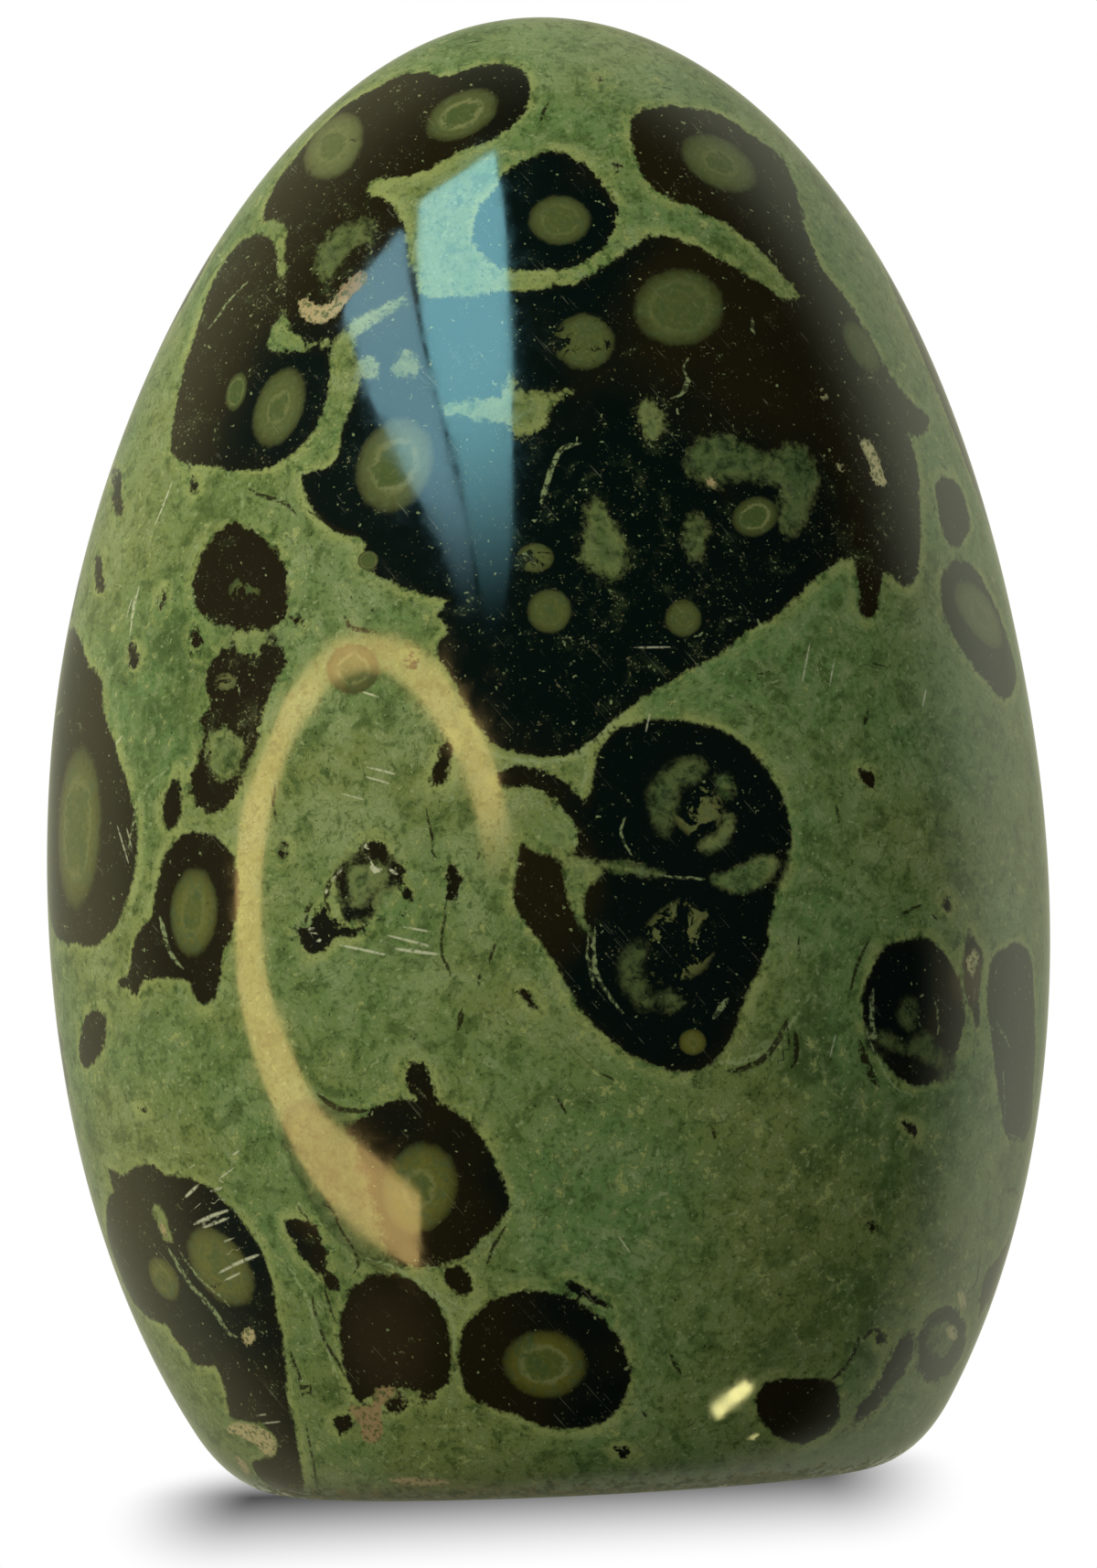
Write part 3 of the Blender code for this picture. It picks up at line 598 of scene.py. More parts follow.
# Soft boxes that the polish mirrors: name, colour, strength, how far it fades at its two ends as
# shares of its length, and its left and right edges as the viewer in front sees them on the stone
LIGHT_PANELS = (
    ("softbox_right", (0.36, 0.88, 1.0), 8.2, 0.0, 0.6,
     ((-7.1, 95.7), (-7.5, 90.5), (-7.2, 86.0), (-6.3, 80.3), (-5.2, 76.1), (-4.5, 70.4), (-3.9, 66.2),
      (-3.7, 63.0)),
     ((-1.4, 99.2), (-0.9, 94.8), (-0.8, 85.7), (-1.1, 77.3), (-1.4, 70.8), (-2.0, 66.6), (-3.0, 63.0))),
    ("softbox_left", (0.42, 0.84, 1.0), 5.8, 0.0, 0.45,
     ((-8.6, 93.6), (-13.0, 88.3), (-12.4, 85.1), (-11.8, 82.0), (-10.5, 79.1), (-8.8, 74.8), (-7.0, 71.1),
      (-5.8, 67.1), (-5.1, 64.0)),
     ((-8.3, 93.3), (-8.2, 90.6), (-7.8, 87.8), (-7.4, 84.7), (-6.5, 80.4), (-5.7, 76.1), (-4.8, 71.9),
      (-4.3, 66.7), (-4.2, 64.0))),
    ("strip_light", (1.0, 0.69, 0.25), 7.3, 0.12, 0.0,
     ((-4.5, 44.3), (-4.8, 48.3), (-5.3, 51.4), (-6.1, 54.0), (-7.4, 56.3), (-8.7, 58.4), (-10.7, 60.6),
      (-12.8, 61.1), (-15.1, 60.4), (-16.6, 58.7), (-18.4, 56.3), (-19.5, 53.5), (-20.4, 50.7),
      (-21.3, 45.1), (-21.3, 39.5), (-20.7, 36.6), (-18.8, 30.9), (-17.2, 28.0), (-14.3, 25.4),
      (-10.5, 21.9)),
     ((-2.4, 44.2), (-2.6, 48.2), (-3.0, 51.3), (-3.6, 53.9), (-4.5, 56.2), (-6.9, 60.5), (-8.7, 62.5),
      (-10.8, 63.5), (-13.0, 63.7), (-15.3, 63.2), (-18.4, 59.9), (-20.0, 56.6), (-21.4, 53.6),
      (-22.5, 50.8), (-23.2, 45.2), (-23.4, 39.6), (-23.2, 36.8), (-21.9, 31.1), (-19.2, 24.7),
      (-16.6, 20.8), (-13.8, 18.3), (-10.9, 16.3))),
    ("lamp", (1.0, 0.92, 0.38), 20.0, 0.0, 0.0,
     ((10.2, 5.2), (12.9, 7.0)), ((10.8, 4.3), (13.6, 6.4))),
    ("small_lamp", (1.0, 0.92, 0.38), 14.0, 0.0, 0.0,
     ((13.1, 2.8), (13.5, 3.1)), ((13.2, 2.5), (13.7, 2.9))),
)

# Soft zones of the dark patches: across, up, reach, warmth from 0 teal black by 1 brown black to 2 tan,
# crowd from 0 clear to 1 full of grains
DARK_ZONES = seen_from("front", (
    (3.0, 94.0, 6.0, 0.1, 0.3),
    (-18.0, 81.0, 4.5, 0.25, 0.5),
    (-10.0, 75.5, 6.0, 0.0, 0.35),
    (-24.0, 84.0, 4.5, 1.0, 0.75),
    (-14.0, 93.0, 5.5, 0.9, 0.9),
    (-9.0, 100.5, 5.0, 0.9, 0.45),
    (-15.0, 99.0, 4.0, 0.9, 0.3),
    (0.5, 103.5, 4.0, 0.5, 0.2),
    (2.0, 80.0, 7.0, 0.1, 0.35),
    (4.0, 68.0, 8.0, 0.05, 0.9),
    (-2.0, 58.5, 5.0, 0.1, 0.35),
    (8.0, 61.0, 4.0, 0.2, 0.8),
    (15.0, 84.0, 6.0, 0.85, 0.35),
    (19.0, 78.0, 5.0, 1.0, 0.2),
    (11.0, 77.0, 5.0, 0.35, 0.75),
    (20.0, 71.0, 5.0, 0.15, 0.9),
    (26.5, 69.0, 5.0, 1.0, 0.7),
    (26.0, 77.0, 4.0, 0.8, 0.75),
    (13.0, 97.0, 5.0, 0.9, 0.4),
    (21.0, 93.0, 4.5, 0.6, 0.6),
    (26.0, 86.0, 4.0, 0.8, 0.4),
    (-21.8, 68.0, 4.0, 1.0, 0.5),
    (-22.5, 58.0, 5.0, 0.75, 1.0),
    (-26.0, 44.0, 5.0, 0.6, 0.35),
    (-26.0, 16.0, 7.0, 0.3, 0.6),
    (-22.0, 5.0, 5.0, 0.7, 0.6),
    (-10.0, 23.0, 6.0, 0.45, 0.35),
    (-13.0, 11.5, 5.0, 1.4, 0.4),
    (-17.0, 23.5, 3.0, 3.2, 0.8),
    (-2.0, 9.0, 6.0, 0.55, 0.25),
    (12.0, 51.0, 5.0, 0.05, 0.15),
    (0.0, 43.0, 3.0, 0.95, 0.4),
    (10.0, 39.0, 6.0, 0.1, 0.3),
    (16.5, 4.6, 4.0, 1.1, 0.1),
    (25.4, 34.6, 2.5, 0.0, 0.15),
    (29.8, 32.4, 2.0, 1.0, 0.3),
    (31.3, 35.5, 2.0, 2.2, 0.1),
    (-33.5, 50.0, 8.0, 0.7, 0.5),
    (34.0, 31.0, 5.0, 0.0, 0.1),
    (33.5, 63.0, 4.0, 0.0, 0.1),
)) + seen_from("right", (
    (2.0, 80.0, 9.0, 0.8, 0.5),
    (14.0, 28.0, 12.0, 0.3, 0.4),
    (0.0, 12.0, 6.0, 0.8, 0.7),
)) + seen_from("back", (
    (-14.0, 90.0, 8.0, 0.2, 0.4),
    (-4.0, 76.0, 7.0, 0.05, 0.2),
    (-20.0, 68.0, 8.0, 0.7, 0.8),
    (14.0, 38.0, 8.0, 0.1, 0.3),
    (20.0, 18.0, 9.0, 0.6, 0.6),
    (20.0, 75.0, 10.0, 0.2, 0.4),
    (-18.0, 32.0, 10.0, 0.8, 0.3),
    (-10.0, 10.0, 7.0, 0.3, 0.9),
)) + seen_from("left", (
    (-4.0, 84.0, 8.0, 0.5, 0.7),
    (-12.0, 55.0, 9.0, 0.2, 0.3),
    (-8.0, 24.0, 9.0, 0.8, 0.5),
))

# Soft zones of the green ground: across, up, reach, tint from -1 bluish to 1 olive, light from
# -1 deep to 1 pale
GROUND_ZONES = seen_from("front", (
    (3.0, 106.0, 7.0, 0.0, 0.9),
    (5.0, 99.5, 5.0, -1.0, -0.1),
    (9.0, 94.0, 4.0, -0.5, 0.2),
    (-12.0, 90.0, 5.0, 0.5, 0.2),
    (-28.0, 78.0, 6.0, 0.6, 0.3),
    (-13.0, 67.0, 5.0, 0.2, 0.6),
    (-29.0, 60.0, 5.0, -0.1, -1.2),
    # Painted reflected haze: this zone makes the ground paler inside the loop of the strip light's
    # reflection.
    (-14.0, 53.0, 6.0, 0.1, 1.0),
    (-20.0, 39.0, 5.0, 0.5, 0.3),
    (-9.0, 46.0, 5.0, 0.1, 0.8),
    (-12.0, 34.0, 7.0, 0.1, 0.3),
    (-27.0, 31.0, 7.0, 0.6, 0.4),
    (1.0, 30.0, 7.0, 0.3, 0.0),
    (6.0, 20.0, 7.0, -0.4, 0.1),
    (10.0, 27.0, 5.0, -0.2, 0.3),
    (18.0, 21.0, 6.0, 1.1, -0.9),
    (24.0, 24.0, 5.0, -0.4, -1.0),
    (19.0, 30.0, 4.0, -0.6, -0.8),
    (20.0, 40.0, 6.0, -0.5, 0.0),
    (22.0, 56.0, 7.0, -1.0, -0.35),
    (30.0, 50.0, 6.0, 0.2, 0.1),
    (33.0, 76.0, 6.0, 0.4, 0.3),
    (23.0, 14.0, 5.0, 0.2, -1.0),
    (10.0, 12.0, 5.0, 0.3, -0.3),
    (0.0, 2.0, 7.0, 0.6, 0.5),
    (-16.0, 4.0, 6.0, 0.6, 0.0),
    (-30.0, 9.0, 6.0, 0.7, 0.2),
    (29.0, 13.0, 6.0, 0.9, -0.6),
)) + seen_from("right", (
    (4.0, 60.0, 8.0, -0.6, 0.2),
    (14.0, 78.0, 8.0, 0.4, 0.5),
    (2.0, 36.0, 8.0, 0.3, -0.3),
    (8.0, 8.0, 7.0, 0.7, 0.0),
)) + seen_from("back", (
    (12.0, 92.0, 9.0, -0.6, 0.4),
    (14.0, 74.0, 8.0, 0.3, 0.2),
    (2.0, 58.0, 9.0, -0.4, 0.3),
    (-14.0, 48.0, 8.0, 0.6, 0.5),
    (-28.0, 30.0, 9.0, 0.2, -0.2),
    (-14.0, 26.0, 7.0, -0.8, -0.3),
    (2.0, 8.0, 9.0, 0.6, 0.1),
    (28.0, 50.0, 8.0, 0.5, -0.4),
)) + seen_from("left", (
    (-14.0, 80.0, 8.0, 0.6, 0.4),
    (-6.0, 54.0, 9.0, -0.4, 0.3),
    (-16.0, 28.0, 8.0, 0.4, -0.3),
    (-6.0, 8.0, 8.0, 0.7, 0.0),
))

# Soft zones of yellowish crumbs in the green ground: across, up, reach, how full
CRUMB_ZONES = seen_from("front", (
    (9.0, 26.5, 4.5, 1.0),
    (-0.5, 24.0, 3.0, 0.9),
    (14.0, 20.0, 4.0, 0.8),
    (5.0, 13.0, 5.0, 0.0),
    (20.0, 22.0, 5.0, 0.8),
    (-14.0, 52.0, 6.0, 0.1),
    (-16.0, 36.0, 6.0, 0.4),
    (-28.0, 33.0, 6.0, 0.5),
    (-8.0, 34.0, 5.0, 0.3),
    (22.0, 55.0, 8.0, 0.0),
    (20.0, 41.0, 5.0, 0.1),
    (-28.0, 76.0, 6.0, 0.4),
    (-9.3, 44.0, 2.0, 1.0),
    (-6.0, 40.5, 2.0, 0.7),
    (-13.0, 6.0, 4.0, 1.0),
    (28.0, 11.0, 4.0, 1.0),
    (30.0, 44.0, 5.0, 0.7),
    (4.0, 104.0, 5.0, 0.1),
    (8.0, 2.0, 6.0, 0.3),
)) + seen_from("right", (
    (6.0, 68.0, 8.0, 0.2),
    (6.0, 26.0, 7.0, 0.9),
)) + seen_from("back", (
    (2.0, 56.0, 9.0, 0.0),
    (12.0, 76.0, 7.0, 0.7),
    (-4.0, 28.0, 7.0, 1.0),
    (-24.0, 54.0, 8.0, 0.3),
)) + seen_from("left", (
    (-8.0, 52.0, 8.0, 0.4),
    (-6.0, 24.0, 7.0, 0.9),
))

# Thin stray lines on the sides and the back, drawn at random: side, the two ends of the range across
# that they start in, and how many dark lines, pale lines and scratches
STRAY_SIDES = (
    ("right", -4.0, 16.0, (12, 6, 5)), ("back", -27.0, 27.0, (26, 14, 12)), ("left", 4.0, -16.0, (12, 6, 5)))
STRAY_SEED = 41
STRAY_HEIGHTS = (6.0, 98.0)
STRAY_LENGTHS = (1.0, 4.5)
STRAY_HALF_WIDTHS = (0.1, 0.22)
SCRATCH_HALF_WIDTH = 0.09

# A stray line's legs, and how far it may turn between them in radians. Scratches run straight.
STRAY_LEGS = 3
STRAY_BEND = 0.5

# Fine hairs in the polish: their slope in radians, and the waves of their noise to the millimetre
# along them, into the stone and across them
HAIR_SLOPE = math.radians(-52.0)
HAIR_STRETCH = (0.14, 0.5, 7.0)

# How far some noises are moved in millimetres, so that they don't fall together with the others, and
# the waves of the flow lines to the millimetre: along each axis, and away from a patch's edge
NOISE_SHIFT = (31.0, 7.0, 3.0)
FLOW_STRETCH = (0.22, 0.22, 0.22)
FLOW_CHANGE = 0.8

# Soft clouds in the stone's colours: size in millimetres and seed
CLOUD_SIZES = ((11.0, 5.3), (4.0, 2.9))

# The clouds' noise: roughness, step from one octave to the next, octaves, and spread about 0.5
CLOUD_ROUGHNESS = 0.8
CLOUD_STEP = 2.0
CLOUD_OCTAVES = 4
CLOUD_SPREAD = 0.11

# How far a seed moves the clouds' noise along each axis
CLOUD_SHIFT = (1.0, 0.37, 0.71)

# How far the fields of a marking reach past its outline, in millimetres
FIELD_REACH = 4.0
LINE_REACH = 1.0

# Least cosine between the ways from the stone's heart to an outline's middle and to a vertex
SAME_FACE = 0.1

# How far the raggedness of an edge carries, in millimetres, how much more an island's counts than a
# patch's, and the raggedness where no edge is near
RAGGED_REACH = 0.8
ISLAND_PULL = 3.0
PLAIN_RAGGED = 0.5

# How far an island's tone reaches past its edge, in millimetres
ISLAND_MARGIN = 1.0

# How far round an eye its field is worked out, as a multiple of the eye, and the value beyond it
EYE_FIELD = 2.2
BEYOND_EYE = 3.0

# How far the clouds bend the eyes' dark rings, in millimetres
RING_BEND = 8.0

# Width of a line's ends as a share of its middle, how suddenly it widens, how steeply it fades past
# the fields' reach, and the half width where there is no line
LINE_END = 0.35
LINE_SWELL = 3
LINE_FADE = 3.0
NO_LINE = -1.0

# How much the average of all zones counts beside the zones near a place
AVERAGE_PULL = 0.12

# A distance beyond any on the stone, and small amounts that keep a division from having nothing to
# divide by: a squared length, a distance and a weight
FAR_AWAY = 1e9
LEAST_SQUARE = 1e-12
LEAST_GAP = 1e-3
LEAST_WEIGHT = 1e-6

# How far from the stone the mirrored soft boxes stand, in millimetres, and their mesh
PANEL_DISTANCE = 600.0
PANEL_COLUMNS = 6
PANEL_ROWS = 40

# Soft lights, which the polish doesn't mirror: name, place in metres, size, setting with its power, colour
SOFT_LIGHTS = (
    ("key_light", (-0.55, -0.45, 0.4), 0.5, "key_power", (1.0, 0.95, 0.76)),
    ("fill_light", (0.8, -0.15, 0.25), 0.5, "fill_power", (1.0, 1.0, 0.9)),
    ("back_light", (0.35, 0.75, 0.5), 0.6, "back_power", (1.0, 0.98, 0.88)),
    ("top_light", (0.0, 0.1, 0.8), 0.6, "top_power", (1.0, 1.0, 1.0)),
)

# Half the floor's width, the middle and half the width of the stone's foot, and where the painted shade
# round the foot starts and ends as distances from the foot's middle line, all in metres
FLOOR_REACH = 12.0
FOOT_MIDDLE = -0.003
FOOT_REACH = 0.021
FOOT_SHADE = (-0.016, 0.077)

# How many times sooner the shade ends beside the foot and behind it than in front of it
SHADE_BESIDE = 7.0
SHADE_BEHIND = 2.0

# The floor, and the surround that the camera sees past it
WHITE = (1.0, 1.0, 1.0, 1.0)

# Daylight that falls on the stone: from the left, from the right and from below
DAY_LEFT = (0.60, 0.58, 0.44, 1.0)
DAY_RIGHT = (0.20, 0.22, 0.19, 1.0)
DAY_BELOW = (0.12, 0.12, 0.09, 1.0)

# Surround that the polish mirrors: in front, at the left of the front, at the left, at the right and
# behind. The steeper it lies above or below, the more the dimming colour takes from it.
MIRRORED_FRONT = (0.012, 0.014, 0.012, 1.0)
MIRRORED_FRONT_LEFT = (0.10, 0.10, 0.07, 1.0)
MIRRORED_LEFT = (0.68, 0.65, 0.38, 1.0)
MIRRORED_RIGHT = (1.05, 1.12, 0.80, 1.0)
MIRRORED_BEHIND = (0.46, 0.47, 0.33, 1.0)
STEEP_DIMMING = (0.3, 0.3, 0.3, 1.0)

# The camera's sensor in millimetres, and its clipping distances in metres
SENSOR_WIDTH = 36.0
CLIP_DISTANCES = (0.01, 20.0)


def length_property(label, about, metres):
    """A length that a user may change."""
    return FloatProperty(
        name=label, description=about, default=metres, unit="LENGTH", subtype="DISTANCE")


def share_property(label, about, value):
    """A plain number that a user may change."""
    return FloatProperty(name=label, description=about, default=value)


def steps_property(label, about, value):
    """A count of mesh steps that a user may change."""
    return IntProperty(name=label, description=about, default=value, min=4)


def colour_property(label, about, red, green, blue):
    """A colour that a user may change, as linear light."""
    return FloatVectorProperty(
        name=label, description=about, default=(red, green, blue, 1.0), size=4, min=0.0, max=1.0,
        subtype="COLOR")


class StoneShape(bpy.types.PropertyGroup):
    """Form of the stone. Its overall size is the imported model's."""

    height: length_property("Height", "Foot to top", STONE_HIGH.z - STONE_LOW.z)
    width: length_property("Width", "Across the broad face", STONE_HIGH.x - STONE_LOW.x)
    depth: length_property("Depth", "Front to back", STONE_HIGH.y - STONE_LOW.y)
    widest_height: length_property("Widest height", "Height of the widest place", 0.0432)
    ground_off: length_property(
        "Ground off", "How much of the blunt end was ground away for the base", 0.0135)
    rim_blend: length_property("Rim blend", "Height over which the side rounds into the base", 0.005)
    top_lean: length_property("Top lean", "How far the top leans to the right", 0.0016)
    lean_start: length_property("Lean start", "Height from which the top leans", 0.055)
    front_fullness: share_property("Front fullness", "Share by which the front is fuller", 0.05)
    twist: share_property("Twist", "Share by which the faces twist from foot to top", 0.06)
    right_fullness: share_property("Right fullness", "Share by which the right side is thicker", 0.03)
    steps_across: steps_property("Steps across", "Mesh steps across the broad face", 118)
    steps_deep: steps_property("Steps deep", "Mesh steps from front to back", 80)
    steps_up: steps_property("Steps up", "Mesh steps from foot to top", 196)
    front_detail: share_property("Front detail", "How much finer the mesh is on the front face", 0.22)


class JasperFinish(bpy.types.PropertyGroup):
    """Colours and polish of the stone."""

    green: colour_property("Green", "Ground colour, bluish part", 0.104, 0.188, 0.066)
    olive: colour_property("Olive", "Ground colour, yellowish part", 0.155, 0.200, 0.064)
    shade: colour_property("Shade", "Deeper clouds in the ground colour", 0.048, 0.084, 0.024)
    # Also the colour of the painted glints on the dark patches.
    mist: colour_property("Mist", "Pale clouds and wisps in the ground colour", 0.255, 0.325, 0.165)
    halo: colour_property("Halo", "Yellowish edge round the patches, and crumbs", 0.300, 0.350, 0.125)
    teal_black: colour_property("Teal black", "Cool part of the dark patches", 0.0016, 0.0052, 0.0046)
    brown_black: colour_property("Brown black", "Warm part of the dark patches", 0.0120, 0.0100, 0.0040)
    eye_green: colour_property("Eye green", "Inside of the eyes", 0.056, 0.084, 0.032)
    eye_olive: colour_property("Eye olive", "Warmer inside of the eyes", 0.102, 0.106, 0.018)
    eye_pale: colour_property("Eye pale", "Rings and rims of the eyes", 0.165, 0.185, 0.080)
    fleck: colour_property("Fleck", "Fine grains in the dark patches", 0.190, 0.165, 0.080)
    cream: colour_property("Cream", "Pale crust", 0.500, 0.460, 0.260)
    tan: colour_property("Tan", "Pinkish tan crust", 0.250, 0.170, 0.085)
    # Also the colour of the painted glints in the pits.
    scratch: colour_property("Scratch", "Worn polish", 0.500, 0.530, 0.400)
    ground_rim: colour_property("Ground rim", "Unpolished edge of the base", 0.260, 0.230, 0.110)
    polish: share_property("Polish roughness", "Roughness of the polished faces", 0.07)
    refraction: share_property("Refraction", "Index of refraction of chalcedony", 1.54)


class StudioSettings(bpy.types.PropertyGroup):
    """Camera and light."""

    frame_height: length_property(
        "Frame height", "Height that the picture spans at the stone", 0.1165)
    roll: FloatProperty(
        name="Roll", description="How far the camera is turned about its own axis",
        default=math.radians(2.7), subtype="ANGLE")
    key_power: share_property("Key light", "Power of the soft light from the upper left, in watts", 5.5)
    fill_power: share_property("Fill light", "Power of the soft light from the right, in watts", 1.4)
    top_power: share_property("Top light", "Power of the soft light from above, in watts", 0.6)
    back_power: share_property("Back light", "Power of the soft light from behind, in watts", 5.0)


def smooth_step(share):
    """Eases from 0 to 1, for numbers and arrays."""
    share = np.clip(share, 0.0, 1.0)
    return share * share * (3.0 - 2.0 * share)


def soft_floor(height, blend):
    """Height above the base, rounded where the side meets the ground flat."""
    overlap = np.maximum(blend - np.abs(height), 0.0) / blend
    return np.maximum(height, 0.0) + overlap * overlap * blend / 4.0


def stone_points(directions, shape):
    """Where directions of the unit sphere meet the stone's surface."""
    x, y, z = directions.T
    mean_reach = (shape.height + shape.ground_off) / 2.0
    skew = shape.height - shape.widest_height - mean_reach
    rise = shape.widest_height + mean_reach * z + skew * z * z
    fullness = 1.0 - shape.front_fullness * y + shape.twist * x * z + shape.right_fullness * x
    lean = shape.top_lean * smooth_step((rise - shape.lean_start) / (shape.height - shape.lean_start))
    points = np.stack([
        shape.width / 2.0 * x + lean,
        shape.depth / 2.0 * y * fullness,
        soft_floor(rise, shape.rim_blend)], axis=1)
    middle = (points.min(axis=0) + points.max(axis=0)) / 2.0
    middle[2] = 0.0
    return points - middle


def box_grid(steps):
    """A box from -1 to 1 with its faces cut into an even grid, in the given steps along each axis."""
    bm = bmesh.new()
    bmesh.ops.create_cube(bm, size=2.0)
    for axis, count in enumerate(steps):
        along = [
            edge for edge in bm.edges
            if abs(edge.verts[0].co[axis] - edge.verts[1].co[axis]) > 1.0]
        bmesh.ops.subdivide_edges(bm, edges=along, cuts=count - 1, use_grid_fill=True)
    return bm


def finish_mesh(name, bm):
    """Turns a bmesh into a mesh."""
    mesh = bpy.data.meshes.new(name)
    bm.to_mesh(mesh)
    bm.free()
    return mesh


def vertex_array(mesh):
    """The mesh's vertices as an array."""
    flat = np.empty(len(mesh.vertices) * 3)
    mesh.vertices.foreach_get("co", flat)
    return flat.reshape(-1, 3)


def shape_stone_mesh(shape):
    """The fine stone: an even box grid blown up to a sphere and drawn out to the freeform."""
    steps = (shape.steps_across, shape.steps_deep, shape.steps_up)
    mesh = finish_mesh("stone_surface", box_grid(steps))
    grid = np.tan(vertex_array(mesh) * math.pi / 4.0)
    directions = grid / np.linalg.norm(grid, axis=1, keepdims=True)
    directions[:, 1] -= shape.front_detail
    directions /= np.linalg.norm(directions, axis=1, keepdims=True)
    mesh.vertices.foreach_set("co", stone_points(directions, shape).ravel())
    mesh.update()
    mesh.shade_smooth()
    return mesh


def smooth_line(points, closed, step=0.5):
    """A Catmull-Rom curve through the given points, as points about a step apart."""
    points = np.array(points, float)
    count = len(points)
    if closed:
        around = np.concatenate([points[-1:], points, points[:2]])
        spans = count
    else:
        around = np.concatenate([points[:1], points, points[-1:]])
        spans = count - 1
    line = []
    for i in range(spans):
        before, start, end, after = around[i:i + 4]
        pieces = max(2, int(np.linalg.norm(end - start) / step))
        t = (np.arange(pieces) / pieces)[:, None]
        line.append(0.5 * (
            2.0 * start + (end - before) * t
            + (2.0 * before - 5.0 * start + 4.0 * end - after) * t ** 2
            + (3.0 * start - before - 3.0 * end + after) * t ** 3))
    if not closed:
        line.append(points[-1:])
    return np.concatenate(line)


class Surface:
    """The stone's surface in millimetres, with what the markings are measured against."""

    def __init__(self, mesh):
        self.points = vertex_array(mesh) / MM
        normals = np.empty(len(mesh.vertices) * 3)
        mesh.vertex_normals.foreach_get("vector", normals)
        self.normals = normals.reshape(-1, 3)
        self.heart = np.array([0.0, 0.0, HEART_HEIGHT])
        rays = self.points - self.heart
        self.directions = rays / np.linalg.norm(rays, axis=1, keepdims=True)
        self.polygons = [list(polygon.vertices) for polygon in mesh.polygons]
        self.tree = BVHTree.FromPolygons([Vector(p) for p in self.points], self.polygons)

    def sight(self, side, place):
        """The eye's place on a side, the point (across, up) that it aims at, and the way there."""
        turn = math.radians(SIDES[side])
        across = Vector((math.cos(turn), math.sin(turn), 0.0))
        back = Vector((math.sin(turn), -math.cos(turn), 0.0))
        eye = back * EYE_DISTANCE + across * EYE_ACROSS + Vector((0.0, 0.0, EYE_HEIGHT))
        goal = across * float(place[0]) + Vector((0.0, 0.0, float(place[1])))
        return eye, goal, (goal - eye).normalized()

    def seen(self, side, places):
        """Surface points where the eye on a side sees the given places (across, up)."""
        found = []
        for place in places:
            eye, goal, way = self.sight(side, place)
            hit = self.tree.ray_cast(eye, way)[0]
            if hit is None:
                hit = self.tree.find_nearest(goal)[0]
            found.append(hit)
        return np.array(found, float)

    def mirrored(self, place, distance):
        """What the polish mirrors at a place seen from the front: a point that far from the stone."""
        eye, _, way = self.sight("front", place)
        spot, _, face, _ = self.tree.ray_cast(eye, way)
        corners = self.polygons[face]
        apart = np.linalg.norm(self.points[corners] - np.array(spot), axis=1) + LEAST_GAP
        normal = Vector((self.normals[corners] / apart[:, None] ** 2).sum(axis=0)).normalized()
        return spot + (spot - eye).normalized().reflect(normal) * distance


def segment_distances(points, starts, ends):
    """Distance from each point to its nearest segment, with that segment's number and place on it."""
    runs = ends - starts
    lengths = np.maximum((runs * runs).sum(axis=1), LEAST_SQUARE)
    best = np.full(len(points), FAR_AWAY)
    which = np.zeros(len(points), int)
    share = np.zeros(len(points))
    for number, (start, run, length) in enumerate(zip(starts, runs, lengths)):
        offset = points - start
        along = np.clip(offset @ run / length, 0.0, 1.0)
        gap = offset - along[:, None] * run
        apart = np.sqrt((gap * gap).sum(axis=1))
        closer = apart < best
        best[closer] = apart[closer]
        which[closer] = number
        share[closer] = along[closer]
    return best, which, share


def flat_view(rays, toward):
    """Where rays meet a plane that faces the given way, as places across and up it."""
    across = np.cross(toward, (0.0, 0.0, 1.0))
    across /= np.linalg.norm(across)
    ahead = rays @ toward
    return rays @ across / ahead, rays @ np.cross(toward, across) / ahead


def outline_field(surface, side, outline):
    """Signed distance to an outline on the surface, negative inside, for the vertices near it."""
    ring = surface.seen(side, smooth_line(outline, closed=True))
    middle = ring.mean(axis=0)
    reach = np.linalg.norm(ring - middle, axis=1).max() + FIELD_REACH
    toward = (middle - surface.heart) / np.linalg.norm(middle - surface.heart)
    near = np.linalg.norm(surface.points - middle, axis=1) < reach
    near &= surface.directions @ toward > SAME_FACE
    index = np.nonzero(near)[0]
    apart, _, _ = segment_distances(surface.points[index], ring, np.roll(ring, -1, axis=0))
    ring_x, ring_y = flat_view(ring - surface.heart, toward)
    flat_x, flat_y = flat_view(surface.directions[index], toward)
    inside = np.zeros(len(index), bool)
    for x0, y0, x1, y1 in zip(ring_x, ring_y, np.roll(ring_x, -1), np.roll(ring_y, -1)):
        if y0 == y1:
            continue
        crosses = (y0 > flat_y) != (y1 > flat_y)
        inside ^= crosses & (flat_x < (x1 - x0) * (flat_y - y0) / (y1 - y0) + x0)
    return index, np.where(inside, -apart, apart)


def soft_union(first, second, blend=0.35):
    """Smaller of two distances, rounded where they meet."""
    overlap = np.maximum(blend - np.abs(first - second), 0.0) / blend
    return np.minimum(first, second) - overlap * overlap * blend / 4.0


def patch_fields(surface):
    """Distance to the edge of the dark patches, how ragged that edge is, and the islands' tone."""
    count = len(surface.points)
    dark = np.full(count, FIELD_REACH)
    weight = np.full(count, LEAST_WEIGHT)
    ragged = np.full(count, LEAST_WEIGHT * PLAIN_RAGGED)
    island = np.zeros(count)
    for side, roughness, outline in DARK_PATCHES:
        index, field = outline_field(surface, side, outline)
        dark[index] = soft_union(dark[index], field)
        pull = np.exp(-np.abs(field) / RAGGED_REACH)
        weight[index] += pull
        ragged[index] += pull * roughness
    for side, roughness, tone, outline in GREEN_ISLANDS:
        index, field = outline_field(surface, side, outline)
        dark[index] = -soft_union(-dark[index], field)
        island[index] = np.maximum(island[index], tone * (field < ISLAND_MARGIN))
        pull = ISLAND_PULL * np.exp(-np.abs(field) / RAGGED_REACH)
        weight[index] += pull
        ragged[index] += pull * roughness
    return dark, ragged / weight, island


